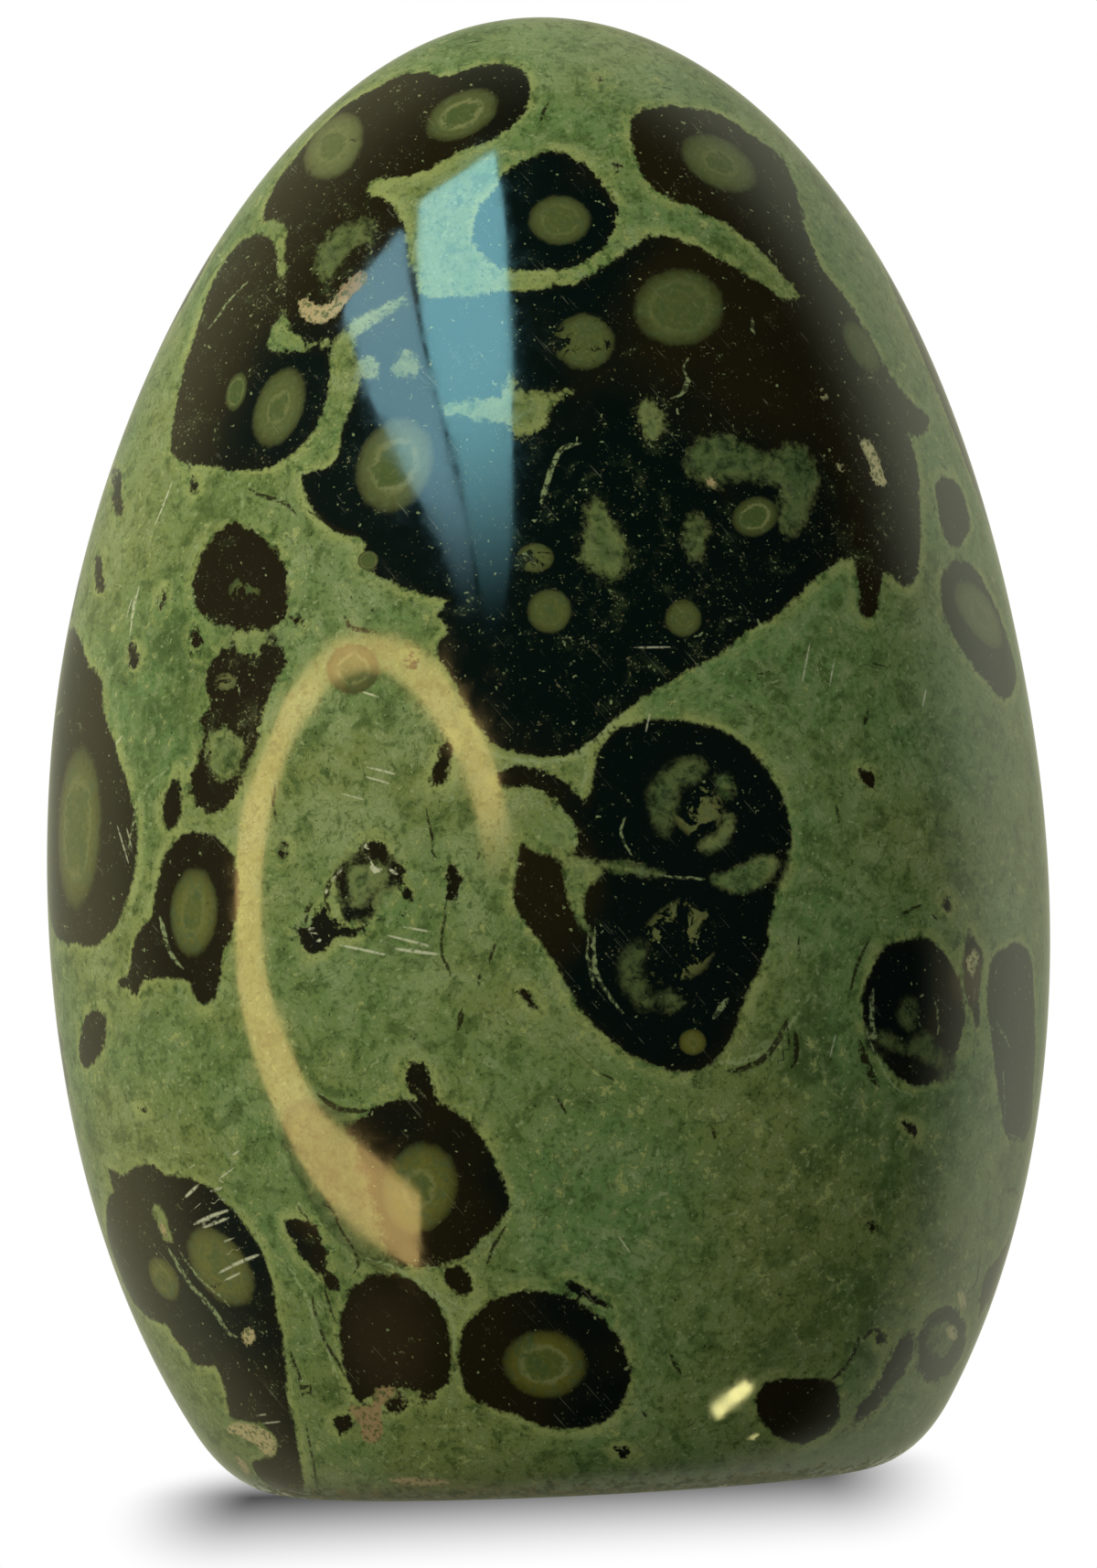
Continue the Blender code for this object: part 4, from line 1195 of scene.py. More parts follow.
def eye_fields(surface, dark, bend):
    """Fields of the nearest eye, and the eyes' dark rings joined to the patches.

    The first field holds the square of the distance from the eye's middle, with the rim at 1, and the
    strength of its ring line. The second holds its look: core, how broken it is, and tone.
    """
    count = len(surface.points)
    rings = np.zeros((count, 3))
    look = np.zeros((count, 3))
    nearest = np.full(count, BEYOND_EYE)
    for row in EYES:
        side, across, up, half_width, half_height, tilt, ring, core, broken, tone, line = row
        turn = math.radians(tilt)
        long_way = np.array([math.cos(turn), math.sin(turn)]) * half_width
        short_way = np.array([-math.sin(turn), math.cos(turn)]) * half_height
        middle = np.array([across, up])
        spots = surface.seen(side, [
            middle, middle + long_way, middle - long_way, middle + short_way, middle - short_way])
        eye_axes = np.stack([(spots[1] - spots[2]) / 2.0, (spots[3] - spots[4]) / 2.0], axis=1)
        size = np.linalg.norm(eye_axes, axis=0)
        offset = surface.points - spots[0]
        reach = EYE_FIELD * max(1.0, ring) * size.max()
        index = np.nonzero(np.linalg.norm(offset, axis=1) < reach)[0]
        local = offset[index] @ np.linalg.pinv(eye_axes).T
        radius = np.linalg.norm(local, axis=1)
        if ring > 0.0:
            dark[index] = soft_union(dark[index], (radius - ring) * size.mean() + bend[index])
        closer = radius < nearest[index]
        chosen = index[closer]
        nearest[chosen] = radius[closer]
        rings[chosen, 1] = line
        look[chosen] = (core, broken, tone)
    rings[:, 0] = nearest ** 2
    return rings, look


def crust_fields(surface):
    """Distance to the edge of the crusts, and their tone."""
    crust = np.full(len(surface.points), FIELD_REACH)
    tone = np.zeros(len(surface.points))
    for side, shade, outline in CRUSTS:
        index, field = outline_field(surface, side, outline)
        closer = field < crust[index]
        chosen = index[closer]
        crust[chosen] = field[closer]
        tone[chosen] = shade
    return crust, tone


def line_fields(surface, lines):
    """Signed sideways distance to the nearest line, and the line's half width there."""
    count = len(surface.points)
    sideways = np.full(count, LINE_REACH)
    half_width = np.full(count, NO_LINE)
    nearest = np.full(count, FAR_AWAY)
    for side, width, points in lines:
        path = surface.seen(side, smooth_line(points, closed=False))
        middle = path.mean(axis=0)
        reach = np.linalg.norm(path - middle, axis=1).max() + LINE_FADE * LINE_REACH
        index = np.nonzero(np.linalg.norm(surface.points - middle, axis=1) < reach)[0]
        near = surface.points[index]
        apart, which, share = segment_distances(near, path[:-1], path[1:])
        run = path[which + 1] - path[which]
        run /= np.linalg.norm(run, axis=1, keepdims=True)
        foot = path[which] + share[:, None] * (path[which + 1] - path[which])
        beside = np.cross(run, surface.normals[index])
        offset = ((near - foot) * beside).sum(axis=1)
        progress = (which + share) / (len(path) - 1)
        taper = 1.0 - np.abs(2.0 * progress - 1.0) ** LINE_SWELL
        past_end = np.sqrt(np.maximum(apart ** 2 - offset ** 2, 0.0))
        wide = width * (LINE_END + (1.0 - LINE_END) * taper) - past_end
        wide -= LINE_FADE * np.maximum(apart - LINE_REACH, 0.0)
        closer = apart < nearest[index]
        chosen = index[closer]
        nearest[chosen] = apart[closer]
        sideways[chosen] = np.clip(offset[closer], -LINE_REACH, LINE_REACH)
        half_width[chosen] = np.maximum(wide[closer], NO_LINE)
    return sideways, half_width


def stray_lines(dice, kind):
    """Short bent lines on the hidden sides: dark lines, pale lines or scratches for kind 0, 1 or 2."""
    scratches = kind == 2
    lines = []
    for side, start, end, counts in STRAY_SIDES:
        for _ in range(counts[kind]):
            across, up = dice.uniform(start, end), dice.uniform(*STRAY_HEIGHTS)
            heading, length = dice.uniform(0.0, math.tau), dice.uniform(*STRAY_LENGTHS)
            points = [(across, up)]
            for _ in range(STRAY_LEGS):
                heading += 0.0 if scratches else dice.uniform(-STRAY_BEND, STRAY_BEND)
                across += math.cos(heading) * length / STRAY_LEGS
                up += math.sin(heading) * length / STRAY_LEGS
                points.append((across, up))
            width = SCRATCH_HALF_WIDTH if scratches else dice.uniform(*STRAY_HALF_WIDTHS)
            lines.append((side, width, tuple(points)))
    return tuple(lines)


def zone_fields(surface, zones):
    """Soft blend of each of the zones' figures over the surface."""
    averages = np.mean([zone[4:] for zone in zones], axis=0)
    total = np.full(len(surface.points), AVERAGE_PULL)
    blends = [np.full(len(surface.points), AVERAGE_PULL * average) for average in averages]
    for side, across, up, reach, *values in zones:
        spot = surface.seen(side, [(across, up)])[0]
        apart = ((surface.points - spot) ** 2).sum(axis=1)
        pull = np.exp(-apart / (reach * reach))
        total += pull
        for blend, value in zip(blends, values):
            blend += pull * value
    return [blend / total for blend in blends]


def slow_noise(surface, size, seed):
    """Soft clouds of the given size in millimetres: 0.5 on average, evenly spread."""
    shift = Vector([part * seed for part in CLOUD_SHIFT])
    values = np.array([
        noise.fractal(Vector(point) / size + shift, CLOUD_ROUGHNESS, CLOUD_STEP, CLOUD_OCTAVES)
        for point in surface.points])
    return 0.5 + CLOUD_SPREAD * (values - values.mean()) / values.std()


def store_field(mesh, name, values):
    """Keeps a field on the mesh's vertices, one number or three each."""
    if values.ndim == 1:
        mesh.attributes.new(name, "FLOAT", "POINT").data.foreach_set("value", values.astype(np.float32))
    else:
        mesh.attributes.new(name, "FLOAT_VECTOR", "POINT").data.foreach_set(
            "vector", values.astype(np.float32).ravel())


def mark_stone(mesh):
    """Lays every marking on the stone's mesh."""
    surface = Surface(mesh)
    dark, ragged, island = patch_fields(surface)
    clouds = [slow_noise(surface, size, seed) for size, seed in CLOUD_SIZES]
    rings, look = eye_fields(surface, dark, RING_BEND * (clouds[1] - 0.5))
    crust, tone = crust_fields(surface)
    dice = random.Random(STRAY_SEED)
    dark_side, dark_width = line_fields(surface, DARK_LINES + stray_lines(dice, 0))
    pale_side, pale_width = line_fields(surface, PALE_LINES + stray_lines(dice, 1))
    scratch_and_glint_side, scratch_and_glint_width = line_fields(surface, SCRATCHES_AND_GLINTS + stray_lines(dice, 2))
    store_field(mesh, "patch", np.stack([dark, ragged, tone], axis=1))
    store_field(mesh, "eye_rings", rings)
    store_field(mesh, "eye_look", look)
    store_field(mesh, "pale_line", np.stack([pale_side, pale_width, crust], axis=1))
    warmth, crowd = zone_fields(surface, DARK_ZONES)
    tint, light = zone_fields(surface, GROUND_ZONES)
    crowd = np.where(dark < 0.0, crowd, zone_fields(surface, CRUMB_ZONES)[0])
    store_field(mesh, "dark_line", np.stack([dark_side, dark_width, warmth], axis=1))
    store_field(mesh, "scratch", np.stack([scratch_and_glint_side, scratch_and_glint_width, crowd], axis=1))
    store_field(mesh, "ground", np.stack([tint, light, island], axis=1))
    store_field(mesh, "clouds", np.stack([*clouds, surface.points[:, 2]], axis=1))


class Wiring:
    """Short ways to add and join shader nodes."""

    def __init__(self, tree):
        self.tree = tree

    def join(self, value, socket):
        """Links another node's socket, or sets a plain value."""
        if isinstance(value, bpy.types.NodeSocket):
            self.tree.links.new(value, socket)
        else:
            socket.default_value = value

    def node(self, kind, inputs=(), **settings):
        """A node with its settings, and its inputs by name."""
        made = self.tree.nodes.new(kind)
        for name, value in settings.items():
            setattr(made, name, value)
        for key, value in dict(inputs).items():
            self.join(value, made.inputs[key])
        return made

    def math(self, operation, first, second=0.0, third=0.0):
        """One step of arithmetic."""
        made = self.node("ShaderNodeMath", operation=operation)
        for value, socket in zip((first, second, third), made.inputs):
            self.join(value, socket)
        return made.outputs[0]

    def times(self, first, second):
        """The first times the second."""
        return self.math("MULTIPLY", first, second)

    def times_plus(self, first, second, third):
        """The first times the second, plus the third."""
        return self.math("MULTIPLY_ADD", first, second, third)

    def minus(self, first, second):
        """The first less the second."""
        return self.math("SUBTRACT", first, second)

    def step(self, value, low, high, start=0.0, end=1.0):
        """Eases from start to end as value goes from low to high."""
        inputs = {"Value": value, "From Min": low, "From Max": high, "To Min": start, "To Max": end}
        made = self.node("ShaderNodeMapRange", inputs, interpolation_type="SMOOTHSTEP")
        return made.outputs["Result"]

    def mix(self, share, first, second, blend="MIX"):
        """The first colour, with a share of the second."""
        made = self.node("ShaderNodeMix", data_type="RGBA", blend_type=blend)
        self.join(share, made.inputs[0])
        self.join(first, made.inputs[6])
        self.join(second, made.inputs[7])
        return made.outputs[2]

    def tinge(self, colour, other, value, low, high, most):
        """Lets another colour in, up to its most, as value goes from low to high."""
        return self.mix(self.step(value, low, high, 0.0, most), colour, other)

    def noise(self, place, scale, detail, roughness, depth=None, distortion=0.0):
        """Noise of so many waves to the unit. Where a depth is given, it runs along a fourth way too."""
        inputs = {
            "Vector": place, "Scale": scale, "Detail": detail, "Roughness": roughness,
            "Distortion": distortion}
        if depth is None:
            made = self.node("ShaderNodeTexNoise", noise_dimensions="3D")
        else:
            made = self.node("ShaderNodeTexNoise", noise_dimensions="4D")
            inputs["W"] = depth
        for key, value in inputs.items():
            self.join(value, made.inputs[key])
        return made.outputs["Fac"]

    def split(self, vector):
        """The three numbers of a vector."""
        made = self.node("ShaderNodeSeparateXYZ", {"Vector": vector})
        return made.outputs[0], made.outputs[1], made.outputs[2]

    def field(self, name):
        """The three numbers of a field that the mesh keeps."""
        return self.split(self.node("ShaderNodeAttribute", attribute_name=name).outputs["Vector"])

    def vector_math(self, operation, first, second):
        """One step of arithmetic on two vectors."""
        made = self.node("ShaderNodeVectorMath", operation=operation)
        self.join(first, made.inputs[0])
        self.join(second, made.inputs[1])
        return made.outputs[0]

    def end(self, shader, kind="ShaderNodeOutputMaterial"):
        """Ends the tree in a shader."""
        self.tree.links.new(shader.outputs[0], self.node(kind).inputs["Surface"])


def stone_noises(w, place, dark):
    """The noises that the stone's colours share, each about 0.5 on average."""
    apart = w.vector_math("ADD", place, NOISE_SHIFT)
    slowly = w.vector_math("MULTIPLY", place, FLOW_STRETCH)
    return {
        "frill": w.noise(place, 0.9, 4.0, 0.65),
        "fine": w.noise(place, 2.8, 3.0, 0.6),
        "grain": w.noise(apart, 4.4, 2.0, 0.55),
        "mottle": w.noise(apart, 1.2, 4.0, 0.66, distortion=0.4),
        "haze": w.noise(apart, 0.55, 4.0, 0.66, distortion=0.5),
        "dots": w.noise(apart, 2.2, 1.0, 0.5),
        "flow": w.noise(slowly, 1.0, 3.0, 0.6, depth=w.times(dark, FLOW_CHANGE)),
    }


def ground_colour(w, noises, edge, drift, clouds, tint, light, crumbs, finish):
    """The mottled green ground between the patches.

    Clouds, blotches and haze come first, each with a deep and a pale side. Flow lines, threads and a
    halo beside the patches follow, and crumbs, dots and dark flecks come last.
    """
    mottle, fine, haze, flow = noises["mottle"], noises["fine"], noises["haze"], noises["flow"]
    share = w.times_plus(w.minus(drift, 0.5), 2.0, w.times(tint, 0.45))
    colour = w.mix(w.step(share, -0.5, 0.6), finish.green, finish.olive)
    # The light field pales or deepens the ground zone by zone; inside the strip light's loop its paleness is
    # painted reflected haze.
    depth = w.times_plus(w.minus(clouds, 0.5), 2.4, w.times(light, 0.5))
    blotch = w.times_plus(fine, 0.35, w.times(mottle, 0.65))
    for value, deep_from, deep_to, deep, pale_from, pale_to, pale in (
            (depth, -0.1, -0.9, 0.75, 0.1, 0.9, 0.5),
            (blotch, 0.49, 0.38, 0.75, 0.51, 0.62, 0.55),
            (haze, 0.49, 0.33, 0.65, 0.52, 0.66, 0.5)):
        colour = w.tinge(colour, finish.shade, value, deep_from, deep_to, deep)
        colour = w.tinge(colour, finish.mist, value, pale_from, pale_to, pale)
    beside = w.times(w.step(edge, 3.6, 0.4), 0.35)
    colour = w.mix(w.times(w.step(flow, 0.54, 0.66), beside), colour, finish.mist)
    thread = w.step(w.math("ABSOLUTE", w.minus(flow, 0.47)), 0.018, 0.005)
    thread = w.times(thread, w.step(mottle, 0.4, 0.56, 0.0, 0.55))
    colour = w.mix(thread, colour, finish.shade)
    halo = w.times(w.step(edge, 1.2, 0.15), w.step(w.math("ADD", flow, mottle), 0.86, 1.1))
    colour = w.mix(w.times(halo, 0.6), colour, finish.halo)
    pile = w.times_plus(fine, 0.15, w.times(mottle, 0.5))
    pile = w.times_plus(haze, 0.35, pile)
    pile = w.times_plus(crumbs, 0.05, pile)
    colour = w.tinge(colour, finish.shade, pile, 0.555, 0.585, 0.4)
    colour = w.tinge(colour, finish.halo, pile, 0.585, 0.64, 0.65)
    colour = w.tinge(colour, finish.mist, noises["dots"], 0.69, 0.72, 0.6)
    flecks = w.times_plus(haze, 0.3, noises["grain"])
    return w.tinge(colour, finish.brown_black, flecks, 0.462, 0.43, 0.8)


def dark_colour(w, noises, edge, drift, warmth, crowd, finish):
    """The near-black patches with their fine grains, which are thicker the higher the crowd, and sparse
    painted glints.
    """
    warm = w.step(w.math("ADD", warmth, w.minus(drift, 0.5)), 0.25, 0.75)
    colour = w.mix(warm, finish.teal_black, finish.brown_black)
    crowding = w.times_plus(crowd, 0.2, noises["haze"])
    colour = w.tinge(colour, finish.eye_green, crowding, 0.66, 0.95, 0.35)
    colour = w.tinge(colour, finish.brown_black, edge, -0.7, -0.05, 0.25)
    grain_colour = w.mix(w.step(noises["mottle"], 0.42, 0.58), finish.fleck, finish.mist)
    grains = w.times_plus(crowding, 0.5, noises["grain"])
    colour = w.tinge(colour, grain_colour, grains, 0.96, 1.06, 0.45)
    colour = w.tinge(colour, finish.tan, warmth, 1.0, 2.0, 0.3)
    # Painted glints: sparse pale dots of mist colour on the dark patches.
    painted_glints = w.times_plus(crowd, 0.02, noises["dots"])
    return w.tinge(colour, finish.mist, painted_glints, 0.735, 0.78, 0.6)


def eye_colour(w, noises, radius, core, tone, ring_line, height, finish):
    """An eye from its middle out to its rim: the core, its ring line, fine rings and a dark edge."""
    fine = noises["fine"]
    cloud = w.times_plus(noises["mottle"], 0.6, w.times(noises["haze"], 0.4))
    ring = w.times_plus(w.minus(cloud, 0.5), 0.7, radius)
    yellowness = w.times(w.step(cloud, 0.4, 0.54), w.step(height, 75.0, 30.0, 0.3, 1.0))
    body = w.mix(yellowness, finish.eye_green, finish.eye_olive)
    body = w.tinge(body, finish.eye_pale, tone, 0.0, 1.0, 0.45)
    body = w.tinge(body, finish.tan, tone, 0.0, -1.0, 0.9)
    inner = w.mix(w.step(ring_line, 0.0, 1.0, 0.15, 0.6), body, finish.shade)
    from_core = w.minus(ring, core)
    colour = w.mix(w.step(from_core, 0.04, -0.08), body, inner)
    line = w.step(w.math("ABSOLUTE", from_core), 0.11, 0.02)
    line = w.times(line, w.step(cloud, 0.4, 0.52, 0.2, 1.0))
    colour = w.mix(w.times(line, ring_line), colour, finish.eye_pale)
    fine_rings = w.math("SINE", w.times(ring, 33.0))
    colour = w.tinge(colour, finish.eye_pale, fine_rings, 0.2, 1.0, 0.1)
    colour = w.tinge(colour, finish.shade, fine, 0.45, 0.3, 0.5)
    colour = w.tinge(colour, finish.eye_pale, fine, 0.56, 0.7, 0.35)
    return w.tinge(colour, finish.brown_black, ring, 0.6, 1.1, 0.6)


def drawn_line(w, side, width, wander):
    """Mask of the lines of one field, a little wavy."""
    gap = w.math("ABSOLUTE", w.math("ADD", side, wander))
    return w.step(w.minus(gap, width), 0.05, -0.1)


def empty_material(name):
    """An empty material and its wiring."""
    material = bpy.data.materials.new(name)
    material.use_nodes = True
    material.node_tree.nodes.clear()
    return material, Wiring(material.node_tree)


def jasper_material(finish):
    """Polished kambaba jasper, driven by the markings' fields."""
    material, w = empty_material("polished jasper")
    coordinates = w.node("ShaderNodeTexCoord").outputs["Object"]
    place = w.vector_math("MULTIPLY", coordinates, (1.0 / MM, 1.0 / MM, 1.0 / MM))

    dark, ragged, tone = w.field("patch")
    far, ring_line, _ = w.field("eye_rings")
    core, broken, eye_tone = w.field("eye_look")
    pale_side, pale_width, crust = w.field("pale_line")
    dark_side, dark_width, warmth = w.field("dark_line")
    scratch_and_glint_side, scratch_and_glint_width, crowd = w.field("scratch")
    tint, light, island = w.field("ground")
    drift, clouds, height = w.field("clouds")

    noises = stone_noises(w, place, dark)
    haze = noises["haze"]
    frill = w.minus(noises["frill"], 0.5)
    fine_frill = w.minus(noises["fine"], 0.5)
    edge = w.times_plus(frill, w.times_plus(ragged, 1.7, 0.3), dark)
    edge = w.times_plus(fine_frill, w.times_plus(ragged, 0.9, 0.4), edge)
    ground = ground_colour(w, noises, edge, drift, clouds, tint, light, crowd, finish)
    dim = w.mix(w.step(noises["mottle"], 0.36, 0.62), finish.teal_black, finish.eye_green)
    ground = w.mix(w.times(island, 0.95), ground, dim)
    soft = w.times_plus(island, 0.4, 0.16)
    patch = dark_colour(w, noises, edge, drift, warmth, crowd, finish)
    colour = w.mix(w.step(edge, soft, w.times(soft, -1.0)), ground, patch)

    radius = w.math("SQRT", far)
    frilled = w.times_plus(frill, 0.16, w.times_plus(fine_frill, 0.16, radius))
    gaps = w.times_plus(broken, 0.36, haze)
    eye_mask = w.times(w.step(frilled, 1.08, 0.9), w.step(gaps, 0.75, 0.69))
    eye = eye_colour(w, noises, radius, core, eye_tone, ring_line, height, finish)
    colour = w.mix(eye_mask, colour, eye)

    wander = w.times(frill, 0.5)
    pale_mask = w.times(
        drawn_line(w, pale_side, pale_width, wander), w.step(fine_frill, -0.06, 0.04, 0.1, 0.75))
    colour = w.mix(pale_mask, colour, finish.mist)
    dark_mask = w.times(
        drawn_line(w, dark_side, dark_width, wander), w.step(fine_frill, -0.1, 0.0, 0.1, 0.9))
    colour = w.mix(dark_mask, colour, finish.brown_black)

    crust_mask = w.step(w.times_plus(fine_frill, 1.1, crust), 0.06, -0.1)
    crust_colour = w.mix(tone, finish.cream, finish.tan)
    crust_colour = w.tinge(crust_colour, finish.shade, fine_frill, 0.02, -0.12, 0.8)
    colour = w.mix(crust_mask, colour, crust_colour)

    # Scratches and hairs in the polish, with the painted glints in the pits drawn the same way.
    scratch_and_glint_mask = w.times(
        drawn_line(w, scratch_and_glint_side, scratch_and_glint_width, 0.0), w.step(fine_frill, -0.16, 0.02, 0.15, 0.85))
    turned = w.node("ShaderNodeVectorRotate", {"Vector": place, "Angle": HAIR_SLOPE},
                    rotation_type="Y_AXIS")
    drawn_out = w.vector_math("MULTIPLY", turned.outputs[0], HAIR_STRETCH)
    hair = w.step(w.noise(drawn_out, 1.0, 1.0, 0.5), 0.68, 0.75)
    hair = w.times(hair, w.step(haze, 0.46, 0.6, 0.0, 0.1))
    wear_and_glints = w.math("MAXIMUM", scratch_and_glint_mask, hair)
    colour = w.mix(wear_and_glints, colour, finish.scratch)

    rim_top = w.times_plus(frill, 5.0, w.times_plus(fine_frill, 2.0, height))
    rim_mask = w.step(rim_top, 1.25, 0.65)
    rim_colour = w.mix(w.step(noises["mottle"], 0.42, 0.58), finish.shade, finish.ground_rim)
    colour = w.mix(w.times(rim_mask, 0.8), colour, rim_colour)

    roughness = w.step(haze, 0.3, 0.75, finish.polish * 0.7, finish.polish * 1.6)
    roughness = w.times_plus(crust_mask, 0.12, roughness)
    roughness = w.times_plus(wear_and_glints, 0.2, roughness)
    roughness = w.times_plus(rim_mask, 0.4, roughness)

    w.end(w.node("ShaderNodeBsdfPrincipled", {
        "Base Color": colour, "Roughness": roughness, "IOR": finish.refraction, "Metallic": 0.0}))
    return material


def link_object(name, data):
    """Puts a mesh, light or camera in the scene."""
    made = bpy.data.objects.new(name, data)
    bpy.context.scene.collection.objects.link(made)
    return made


class JASPER_OT_stone(bpy.types.Operator):
    """Make the polished stone with its markings"""

    bl_idname = "jasper.stone"
    bl_label = "Polished stone"

    def execute(self, context):
        mesh = shape_stone_mesh(context.scene.stone_shape)
        mark_stone(mesh)
        mesh.materials.append(jasper_material(context.scene.jasper_finish))
        stone = link_object("stone_polished", mesh)
        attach(stone, "root")
        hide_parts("stone")
        return {"FINISHED"}


def make_floor():
    """A white glowing floor out to the horizon, with a painted soft shade round the stone's foot."""
    bm = bmesh.new()
    bmesh.ops.create_grid(bm, x_segments=1, y_segments=1, size=FLOOR_REACH)
    mesh = finish_mesh("floor", bm)
    material, w = empty_material("pale floor")
    across, away, _ = w.split(w.node("ShaderNodeTexCoord").outputs["Object"])
    across = w.math("ABSOLUTE", w.minus(across, FOOT_MIDDLE))
    beside = w.times(w.math("MAXIMUM", w.minus(across, FOOT_REACH), 0.0), SHADE_BESIDE)
    away = w.math("MAXIMUM", w.times(away, -1.0), w.times(away, SHADE_BEHIND))
    apart = w.math("SQRT", w.times_plus(beside, beside, w.times(away, away)))
    # Painted shade: the floor's glow dims round the foot.
    w.end(w.node("ShaderNodeEmission", {"Color": WHITE, "Strength": w.step(apart, *FOOT_SHADE)}))
    mesh.materials.append(material)
    floor = link_object("floor", mesh)
    floor.visible_glossy = False
    floor.visible_diffuse = False


def along(edge, shares):
    """Points at the given shares of a smoothed edge's length."""
    line = smooth_line(edge, closed=False, step=0.3)
    lengths = np.concatenate([[0.0], np.cumsum(np.linalg.norm(np.diff(line, axis=0), axis=1))])
    goal = np.array(shares) * lengths[-1]
    return np.stack([np.interp(goal, lengths, line[:, axis]) for axis in (0, 1)], axis=1)


def make_light_panel(surface, panel):
    """A soft box that only the polish mirrors, placed where the viewer in front sees it on the stone."""
    name, colour, strength, fade_in, fade_out, left, right = panel
    bm = bmesh.new()
    bmesh.ops.create_grid(bm, x_segments=PANEL_COLUMNS, y_segments=PANEL_ROWS, size=0.5)
    shares = np.array([(vert.co.x + 0.5, vert.co.y + 0.5) for vert in bm.verts])
    starts, ends = along(left, shares[:, 1]), along(right, shares[:, 1])
    places = starts + (ends - starts) * shares[:, :1]
    fades = np.ones(len(places))
    for fade, from_end in ((fade_in, shares[:, 1]), (fade_out, 1.0 - shares[:, 1])):
        if fade:
            fades *= smooth_step(from_end / fade)
    for vert, place in zip(bm.verts, places):
        vert.co = surface.mirrored(place, PANEL_DISTANCE) * MM
    mesh = finish_mesh(name, bm)
    store_field(mesh, "fade", fades)
    material, w = empty_material(name)
    fade = w.node("ShaderNodeAttribute", attribute_name="fade").outputs["Fac"]
    w.end(w.node("ShaderNodeEmission", {"Color": (*colour, 1.0), "Strength": w.times(fade, strength)}))
    mesh.materials.append(material)
    made = link_object(name, mesh)
    made.visible_camera = False
    made.visible_diffuse = False
    made.visible_transmission = False
    made.visible_shadow = False


def make_soft_light(name, place, size, power, colour):
    """A soft area light, which the polish doesn't mirror, turned to the middle of the stone."""
    data = bpy.data.lights.new(name, "AREA")
    data.shape = "DISK"
    data.size = size
    data.energy = power
    data.color = colour
    light = link_object(name, data)
    light.location = place
    middle = Vector((0.0, 0.0, EYE_HEIGHT * MM))
    light.rotation_euler = (middle - light.location).to_track_quat("-Z", "Y").to_euler()
    light.visible_glossy = False
    light.visible_camera = False


def make_camera(studio):
    """The camera at the photograph's angle."""
    data = bpy.data.cameras.new("camera")
    data.sensor_width = SENSOR_WIDTH
    data.lens = SENSOR_WIDTH * EYE_DISTANCE * MM / studio.frame_height
    data.clip_start, data.clip_end = CLIP_DISTANCES
    camera = link_object("camera", data)
    turn = Matrix.Rotation(studio.roll, 4, "Y") @ Matrix.Rotation(math.radians(90.0), 4, "X")
    place = Vector((EYE_ACROSS, -EYE_DISTANCE, EYE_HEIGHT)) * MM
    camera.matrix_world = Matrix.Translation(place) @ turn
    bpy.context.scene.camera = camera


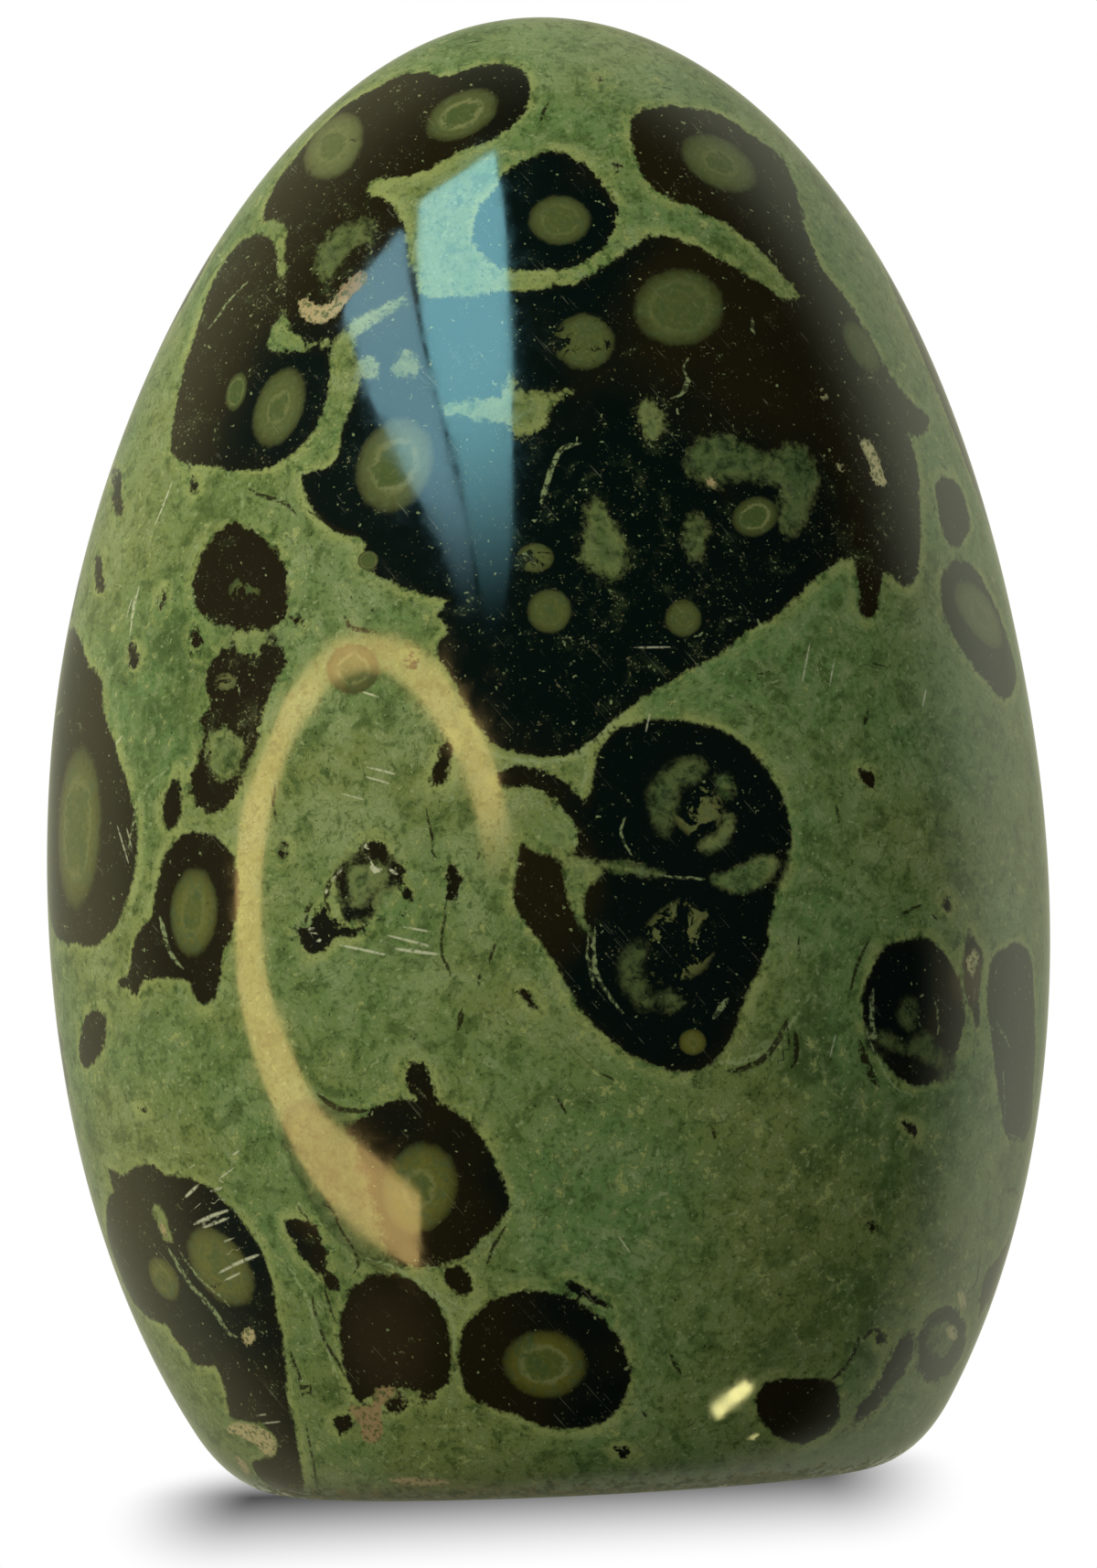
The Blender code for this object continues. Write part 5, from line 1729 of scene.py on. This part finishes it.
def make_world():
    """Soft daylight. The polish mirrors a bright rim behind and beside the stone, and a dim front."""
    world = bpy.data.worlds.new("studio")
    world.use_nodes = True
    world.node_tree.nodes.clear()
    w = Wiring(world.node_tree)
    across, away, up = w.split(w.node("ShaderNodeTexCoord").outputs["Generated"])
    day = w.mix(w.step(across, 0.7, -0.8), DAY_RIGHT, DAY_LEFT)
    day = w.mix(w.step(up, -0.35, 0.15), DAY_BELOW, day)
    front = w.mix(w.step(across, -0.3, -0.9), MIRRORED_FRONT, MIRRORED_FRONT_LEFT)
    side = w.mix(w.step(across, -0.2, 0.2), MIRRORED_LEFT, MIRRORED_RIGHT)
    mirrored = w.mix(w.step(away, -0.3, 0.3), front, side)
    mirrored = w.mix(w.step(away, 0.35, 0.95), mirrored, MIRRORED_BEHIND)
    steep = w.step(w.math("ABSOLUTE", up), 0.2, 0.7, 0.0, 0.45)
    mirrored = w.mix(steep, mirrored, STEEP_DIMMING, "MULTIPLY")
    paths = w.node("ShaderNodeLightPath")
    plain = w.mix(paths.outputs["Is Camera Ray"], day, WHITE)
    colour = w.mix(paths.outputs["Is Glossy Ray"], plain, mirrored)
    w.end(w.node("ShaderNodeBackground", {"Color": colour, "Strength": 1.0}), "ShaderNodeOutputWorld")
    bpy.context.scene.world = world


class JASPER_OT_studio(bpy.types.Operator):
    """Make the floor, the lights and the camera"""

    bl_idname = "jasper.studio"
    bl_label = "Studio"

    def execute(self, context):
        studio = context.scene.jasper_studio
        make_floor()
        make_world()
        make_camera(studio)
        surface = Surface(bpy.data.objects["stone_polished"].data)
        for panel in LIGHT_PANELS:
            make_light_panel(surface, panel)
        for name, place, size, power, colour in SOFT_LIGHTS:
            make_soft_light(name, place, size, getattr(studio, power), colour)
        context.scene.view_settings.view_transform = "Standard"
        return {"FINISHED"}


class JASPER_PT_panel(bpy.types.Panel):
    """The stone and its studio in the sidebar"""

    bl_idname = "JASPER_PT_panel"
    bl_label = "Kambaba jasper"
    bl_space_type = "VIEW_3D"
    bl_region_type = "UI"
    bl_category = "Jasper"

    def draw(self, context):
        scene = context.scene
        for group, operator in (
                (scene.stone_shape, None), (scene.jasper_finish, "jasper.stone"),
                (scene.jasper_studio, "jasper.studio")):
            column = self.layout.column(align=True)
            for name in group.__annotations__:
                column.prop(group, name)
            if operator:
                column.operator(operator)


CLASSES = (StoneShape, JasperFinish, StudioSettings, JASPER_OT_stone, JASPER_OT_studio, JASPER_PT_panel)


def register():
    """Adds the classes and their settings to Blender."""
    for cls in CLASSES:
        bpy.utils.register_class(cls)
    bpy.types.Scene.stone_shape = PointerProperty(type=StoneShape)
    bpy.types.Scene.jasper_finish = PointerProperty(type=JasperFinish)
    bpy.types.Scene.jasper_studio = PointerProperty(type=StudioSettings)


def unregister():
    """Takes them away again."""
    del bpy.types.Scene.jasper_studio
    del bpy.types.Scene.jasper_finish
    del bpy.types.Scene.stone_shape
    for cls in reversed(CLASSES):
        bpy.utils.unregister_class(cls)


def main():
    """Builds the stone and its studio."""
    register()
    bpy.ops.jasper.stone()
    bpy.ops.jasper.studio()


if __name__ == "__main__":
    main()
